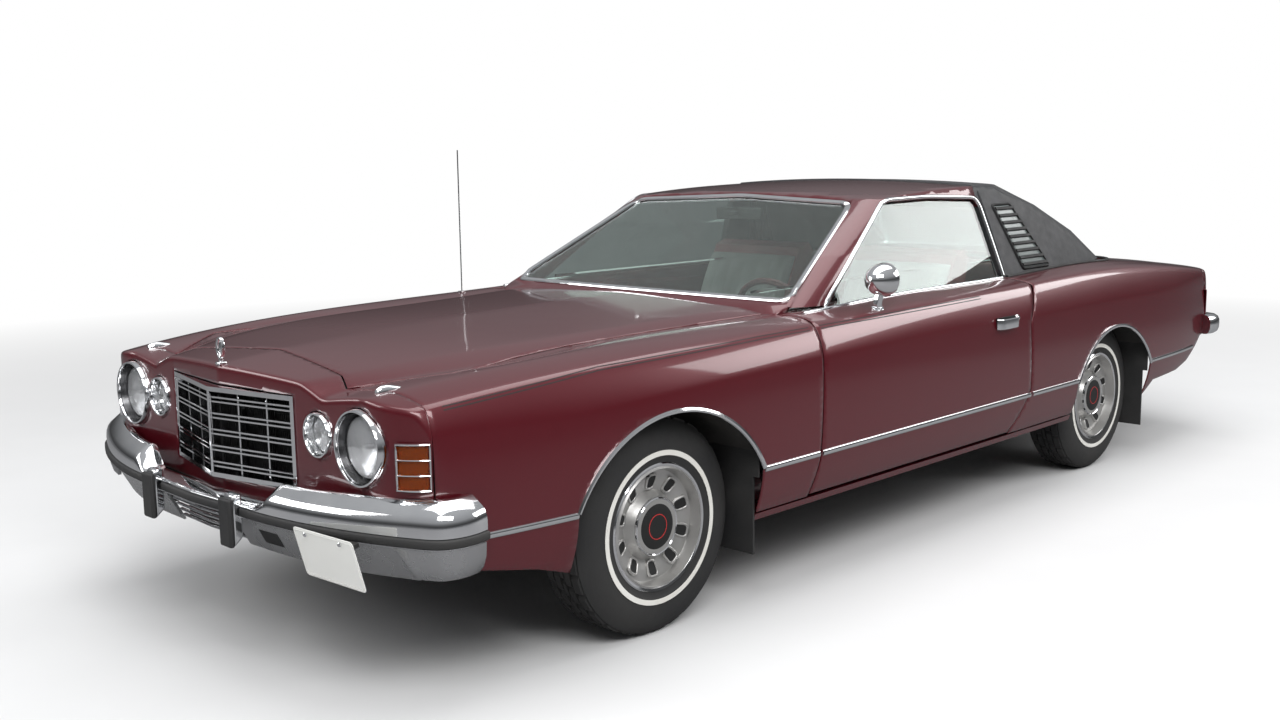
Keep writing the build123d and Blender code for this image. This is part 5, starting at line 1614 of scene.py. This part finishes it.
def louvres():
    """Level blades across each louvre of the roof, over a pale ground."""
    ahead, behind = ((-749, 958), (-644, 1228)), ((-969, 958), (-793, 1228))
    border = [(-738, 950), (-629, 1236), (-795, 1236), (-985, 950), (-738, 950)]
    found = [CABIN.side(x, z)[0] for x, z in resampled(border, 20)]

    def terms(x, z):
        along, up = (x + 830) / 100, (z - 1090) / 100
        return 1, along, up, along * up, up * up

    weights = np.linalg.lstsq(np.array([terms(p.x, p.z) for p in found]), [p.y for p in found], rcond=None)[0]

    def row(z, lift, inset=0):
        part = (z - ahead[0][1]) / (ahead[1][1] - ahead[0][1])
        first, last = [foot[0] + (head[0] - foot[0]) * part for foot, head in (ahead, behind)]
        return [(x, float(np.dot(weights, terms(x, z))) + lift, z)
                for x in np.linspace(first - inset, last + inset, 9)]

    heights = np.linspace(ahead[0][1], ahead[1][1], 28)
    points = [point for z in heights for point in row(z, 1)]
    faces = [(k * 9 + i, k * 9 + i + 1, k * 9 + i + 10, k * 9 + i + 9) for k in range(27) for i in range(8)]
    for name, shape in (("left", Shape(points, faces)), ("right", Shape(points, faces).mirrored())):
        ground = piece(f"louvre_ground_{name}", shape, LOUVRE_GROUND, "body", "rubber")
        wall = ground.modifiers.new("wall", "SOLIDIFY")
        wall.thickness = 2 * MM
        wall.offset = 0
    blade = [(6, -3), (7.5, 5), (4, 9), (-4, 8), (-7.5, 4), (-6, -3)]
    pitch = (ahead[1][1] - ahead[0][1]) / 9
    blades = [swept(row(ahead[0][1] + pitch * (k + 0.5), 2), [(0, 1, 0.25)] * 9, blade) for k in range(9)]
    both("louvre_blades", joined(blades), BLACK, "body", "rubber")


# Small things on the body


def handles():
    """Door handles with their lock buttons."""
    z, start, end = 782, -345, -215
    path = [(x, LEFT_SIDE.side(x, z)[0].y + out, z) for x, out in (
        (end + 6, 2), (end, 12), (end - 12, 20), (end - 40, 21), (start + 40, 21), (start + 14, 20), (start + 2, 12),
        (start - 4, 2))]
    grip = [(20, -2), (21, 4), (18, 8), (0, 9.5), (-18, 8), (-21, 4), (-20, -2)]
    path = softcornered(path, 9)
    paired("door_handle", swept(path, [(0, 1, 0)] * len(path), grip), CHROME, "door_left", "chrome")
    # A thin black plate behind the handle: painted shade standing in for the recess under the grip
    back = [(x, LEFT_SIDE.side(x, z)[0].y, z) for x in np.linspace(start - 8, end + 8, 9)]
    plate_edge = [(25, -2), (25, 1.5), (-27, 1.5), (-27, -2)]
    paired("handle_recess_shade", swept(back, [(0, 1, 0)] * 9, plate_edge), BLACK, "door_left", "rubber")
    lock = LEFT_SIDE.side(-374, z + 12)[0]
    button = lathe([(0, 9), (7, 8.5), (8, 6), (12, 5), (13.5, 2), (13.5, -4), (0, -4)], lock, (0, 1, 0), 40)
    paired("lock_button", button, CHROME, "door_left", "chrome")


def mirror():
    """The bullet mirror on the left door."""
    x, y, z = MIRROR
    head = [(0, -3), (14, 0), (27, 7), (39, 18), (49, 34), (56, 54), (60, 76), (61, 90), (60, 95), (55, 96),
            (54, 91), (0, 91)]
    shell = lathe(head, (x + 4, y, z), (-1, 0, 0), 72)
    stem = swept([(x - 44, y - 2, 912), (x - 46, y - 1, 935), (x - 52, y, 955), (x - 56, y, 972)],
                 [(1, 0, 0)] * 4, [(9, -16), (9, 16), (-9, 16), (-9, -16)])
    foot = [(x + shift, y + across, BODY.top(x + shift, y + across) + lift)
            for lift in (-2, 7) for shift, across in ring((-46, -2), 30, 24)]
    faces = [tuple(range(24)), tuple(range(24, 48))] + [(k, (k + 1) % 24, (k + 1) % 24 + 24, k + 24) for k in range(24)]
    foot = Shape([(px, y - 2 + (py - y + 2) * 0.55, pz) for px, py, pz in foot], faces)
    shown = piece("bullet_mirror", shell.add(stem).add(foot), CHROME, "door_left", "chrome", bevel=2)
    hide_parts("door_mirror")
    glass = lathe([(0, 92), (53, 92), (53, 90), (0, 90)], (x + 4, y, z), (-1, 0, 0), 48)
    piece("mirror_face", glass, REFLECTOR, "door_left", "chrome")


def nose_ornaments():
    """The upright oval ring on the header and the wedge signals on the fenders."""
    x, base = 2588, BODY.top(2588, 0) - 2
    pedestal = block((x - 16, -12, base), (x + 12, 12, base + 9)).add(
        block((x - 8, -5, base + 6), (x + 4, 5, base + 24)))
    piece("ornament_foot", pedestal, CHROME, "body", "chrome", bevel=3)
    oval = [(x - 2, 16 * math.sin(a), base + 50 + 29 * math.cos(a)) for a in np.linspace(0, 2 * math.pi, 49)[:-1]]
    band = swept(oval, [(1, 0, 0)] * 48, [(-2.5, -5), (2.5, -5), (3.5, 0), (2.5, 5), (-2.5, 5), (-3.5, 0)], True)
    heart = lathe([(0, 3), (7, 2), (9, 0), (7, -2), (0, -3)], (x - 2, 0, base + 50), (1, 0, 0), 40)
    heart = heart.mapped(lambda px, py, pz: (px, py, base + 50 + (pz - base - 50) * 2.4))
    piece("ornament_ring", band.add(heart), CHROME, "body", "chrome")
    rows = []
    for step in range(9):
        part = step / 8
        px = 2496 - 74 * part
        width = 6 + 9 * math.sin(math.pi * min(part * 1.2 + 0.12, 1) * 0.5)
        height = 15 * math.sin(math.pi * (0.12 + 0.86 * part) ** 0.7)
        rows.append([(px, 653 + width * math.cos(a), BODY.top(px, 653) - 3 + (height + 4) * max(math.sin(a), -0.2))
                     for a in np.linspace(0, 2 * math.pi, 17)[:-1]])
    points = [point for row in rows for point in row]
    faces = [(k * 16 + i, (k + 1) * 16 + i, (k + 1) * 16 + (i + 1) % 16, k * 16 + (i + 1) % 16)
             for k in range(8) for i in range(16)]
    faces += [tuple(range(16)), tuple(range(128, 144))]
    both("fender_signals", Shape(points, faces), CHROME, "body", "chrome")


def plate():
    """The blank plate that hangs askew under the bumper."""
    outline = softcornered([(-140, -72), (140, -72), (140, 72), (-140, 72)], 14, True)
    count = len(outline)
    sheet = Shape([(0, y, z) for y, z in outline] + [(3, y, z) for y, z in outline],
                  [tuple(range(count)), tuple(range(count, 2 * count))]
                  + [(k, (k + 1) % count, (k + 1) % count + count, k + count) for k in range(count)])
    rim = swept([(3, y * 0.955, z * 0.91) for y, z in outline], [(1, 0, 0)] * count, round_profile(5, 1.6), True)

    def hung(shape):
        return shape.turned("X", PLATE_ROLL).turned("Y", PLATE_PITCH).moved(*PLATE_PLACE)

    piece("plate_blank", hung(sheet.add(rim)), PLATE_WHITE, "body", "dull_chrome", bevel=0.8)
    screws = Shape()
    for side in (-1, 1):
        screws.add(lathe([(0, 6), (5, 5), (7, 3), (7, 0), (0, 0)], (3, side * 82, 58), (1, 0, 0), 20))
    bracket = block((-60, -62, 16), (-1, 62, 28))
    piece("plate_screws", hung(screws), CHROME, "body", "chrome")
    piece("plate_bracket", hung(bracket), CHASSIS, "body", "chassis_black", bevel=1)


# Inside the cabin


def placed_pad(shape, tilt, place):
    """A pad turned up about the Y axis and set in place."""
    return shape.turned("Y", tilt).moved(*place)


def cabin_inside():
    """Padded seats, carpets, gauges and the inner mirror."""
    for name, y, width in (("left", 407, 486), ("right", -407, 486)):
        seat = piece(f"front_cushion_{name}", placed_pad(pad(410, width, 52, 9), 4, (28, y, 500)), CLOTH, "body",
                     "seat_vinyl", smooth=60)
        back = piece(f"front_back_{name}", placed_pad(pad(500, width, 46, 9), 65, (-262, y, 768)), CLOTH, "body",
                     "seat_vinyl", smooth=60)
    for name, y in (("left", 305), ("right", -305)):
        seat = piece(f"rear_cushion_{name}", placed_pad(pad(370, 590, 46, 7), 3, (-952, y, 604)), SEAT, "body",
                     "seat_vinyl", smooth=60)
        back = piece(f"rear_back_{name}", placed_pad(pad(350, 590, 40, 7), 64, (-1198, y, 762)), SEAT, "body",
                     "seat_vinyl", smooth=60)
    carpet = block((-560, 156, 311), (880, 690, 319))
    both("carpet", carpet, CARPET, "body", "trim_vinyl", bevel=3)
    gauges = Shape()
    for y in (300, 440):
        gauges.add(lathe([(0, 6), (44, 6), (48, 10), (53, 10), (55, 4), (55, -6), (0, -6)], (556, y, 775),
                         (-1, 0, 0.16), 48))
    piece("gauges", gauges, BLACK, "body", "dash")
    bezels = Shape()
    for y in (300, 440):
        bezels.add(lathe([(52, 8), (54, 13), (57, 12), (58, 6), (54, 5)], (556, y, 775), (-1, 0, 0.16), 48))
    piece("gauge_rims", bezels, CHROME, "body", "chrome")
    inner = block((205, -120, 1190), (222, 120, 1240)).add(block((222, -8, 1210), (290, 8, 1222)))
    piece("inner_mirror", inner, BLACK, "body", "rubber", bevel=5)


def stage():
    """Floor, soft lights and a white surround."""
    bpy.ops.mesh.primitive_plane_add(size=60, location=(0, 0, 0))
    floor = bpy.context.object
    floor.name = "floor"
    nodes = Nodes("pale_floor")
    pale = nodes.mixed(nodes.ranged(nodes.noise(2), 0, 1), (0.74, 0.74, 0.74), (0.76, 0.76, 0.76))
    light_path = nodes.node("ShaderNodeLightPath")
    # Glossy rays see the floor as dark grey instead of its pale colour: a painted shade in the floor's reflections on
    # the car
    glossy_floor_shade = nodes.node("ShaderNodeMix", data_type="RGBA")
    nodes.link(light_path.outputs["Is Glossy Ray"], glossy_floor_shade.inputs["Factor"])
    nodes.link(pale, glossy_floor_shade.inputs["A"])
    glossy_floor_shade.inputs["B"].default_value = (0.20, 0.20, 0.205, 1)
    nodes.link(glossy_floor_shade.outputs["Result"], nodes.shader.inputs["Base Color"])
    nodes.set(Roughness=0.75)
    apart = nodes.node("ShaderNodeVectorMath", operation="LENGTH")
    nodes.link(nodes.place, apart.inputs[0])
    far = nodes.ranged(apart.outputs["Value"], 0, 1, 3.2, 9.0)
    seen = light_path.outputs["Is Camera Ray"]
    both_true = nodes.node("ShaderNodeMath", operation="MULTIPLY")
    nodes.link(far, both_true.inputs[0])
    nodes.link(seen, both_true.inputs[1])
    white = nodes.node("ShaderNodeEmission")
    blend = nodes.node("ShaderNodeMixShader")
    nodes.link(both_true.outputs["Value"], blend.inputs["Fac"])
    nodes.link(nodes.shader.outputs["BSDF"], blend.inputs[1])
    nodes.link(white.outputs["Emission"], blend.inputs[2])
    nodes.link(blend.outputs["Shader"], nodes.tree.nodes["Material Output"].inputs["Surface"])
    floor.data.materials.append(nodes.material)
    lights = [
        ("key", (4.5, 5.5, 6.0), 6.0, 420, (0.3, 0.2, 0.5)),
        ("fill", (6.5, -4.0, 4.0), 5.0, 160, (0.5, 0, 0.5)),
        ("overhead", (0, 0.5, 6.5), 9.0, 300, (0, 0, 0.5)),
        ("rear", (-6.0, 4.5, 4.0), 5.0, 200, (-1, 0, 0.6)),
    ]
    for name, place, size, power, target in lights:
        data = bpy.data.lights.new(name, "AREA")
        data.shape = "RECTANGLE"
        data.size = size
        data.size_y = size * 0.5
        data.energy = power
        lamp = bpy.data.objects.new(name, data)
        lamp.location = place
        lamp.rotation_euler = (Vector(target) - Vector(place)).to_track_quat("-Z", "Y").to_euler()
        bpy.context.scene.collection.objects.link(lamp)
    world = bpy.data.worlds.new("studio")
    bpy.context.scene.world = world
    world.use_nodes = True
    tree = world.node_tree
    background = tree.nodes["Background"]
    place = tree.nodes.new("ShaderNodeTexCoord").outputs["Generated"]
    parts = tree.nodes.new("ShaderNodeSeparateXYZ")
    tree.links.new(place, parts.inputs["Vector"])
    sky = tree.nodes.new("ShaderNodeValToRGB")
    stops = [(0.0, 0.16), (0.49, 0.10), (0.515, 0.045), (0.56, 0.09), (0.68, 0.29), (1.0, 0.48)]
    ramp = sky.color_ramp
    while len(ramp.elements) < len(stops):
        ramp.elements.new(0.5)
    for element, (position, grey) in zip(ramp.elements, stops):
        element.position = position
        element.color = (grey, grey * 1.02, grey * 1.05, 1)
    half_up = tree.nodes.new("ShaderNodeMath")
    half_up.operation = "MULTIPLY_ADD"
    half_up.inputs[1].default_value = 0.5
    half_up.inputs[2].default_value = 0.5
    tree.links.new(parts.outputs["Z"], half_up.inputs[0])
    tree.links.new(half_up.outputs["Value"], sky.inputs["Fac"])
    path = tree.nodes.new("ShaderNodeLightPath")
    straight = tree.nodes.new("ShaderNodeMath")
    straight.operation = "MAXIMUM"
    tree.links.new(path.outputs["Is Camera Ray"], straight.inputs[0])
    tree.links.new(path.outputs["Is Transmission Ray"], straight.inputs[1])
    seen = tree.nodes.new("ShaderNodeMix")
    seen.data_type = "RGBA"
    seen.inputs["B"].default_value = (1, 1, 1, 1)
    tree.links.new(sky.outputs["Color"], seen.inputs["A"])
    tree.links.new(straight.outputs["Value"], seen.inputs["Factor"])
    tree.links.new(seen.outputs["Result"], background.inputs["Color"])
    bpy.context.scene.view_settings.view_transform = "Standard"


def camera():
    """The photographer's place and lens."""
    place = Vector((4.5182, 3.6019, 1.4722))
    yaw, pitch, roll = -2.36962, -0.154003, -0.0131652
    ahead = Vector((math.cos(pitch) * math.cos(yaw), math.cos(pitch) * math.sin(yaw), math.sin(pitch)))
    right = ahead.cross(Vector((0, 0, 1))).normalized()
    up = right.cross(ahead)
    across = right * math.cos(roll) + up * math.sin(roll)
    above = up * math.cos(roll) - right * math.sin(roll)
    turn = Matrix((across, above, -ahead)).transposed()
    data = bpy.data.cameras.new("camera")
    data.lens = 37.66
    data.sensor_width = 36
    made = bpy.data.objects.new("camera", data)
    made.matrix_world = Matrix.Translation(place) @ turn.to_4x4()
    bpy.context.scene.collection.objects.link(made)
    bpy.context.scene.camera = made


dress_nodes()
body_panels()
for door_side in ("left", "right"):
    door_inside(door_side)
door_fittings()
pillar_feet()
wheels()
side_trim()
pinstripes()
grille_trim()
lamps()
bumpers()
flap_tops()
splash_panels()
lid_braces()
guards()
valance()
marker_frames()
window_mouldings()
roof_trim()
louvres()
handles()
mirror()
nose_ornaments()
plate()
cabin_inside()
polished("steering_wheel")
stage()
camera()
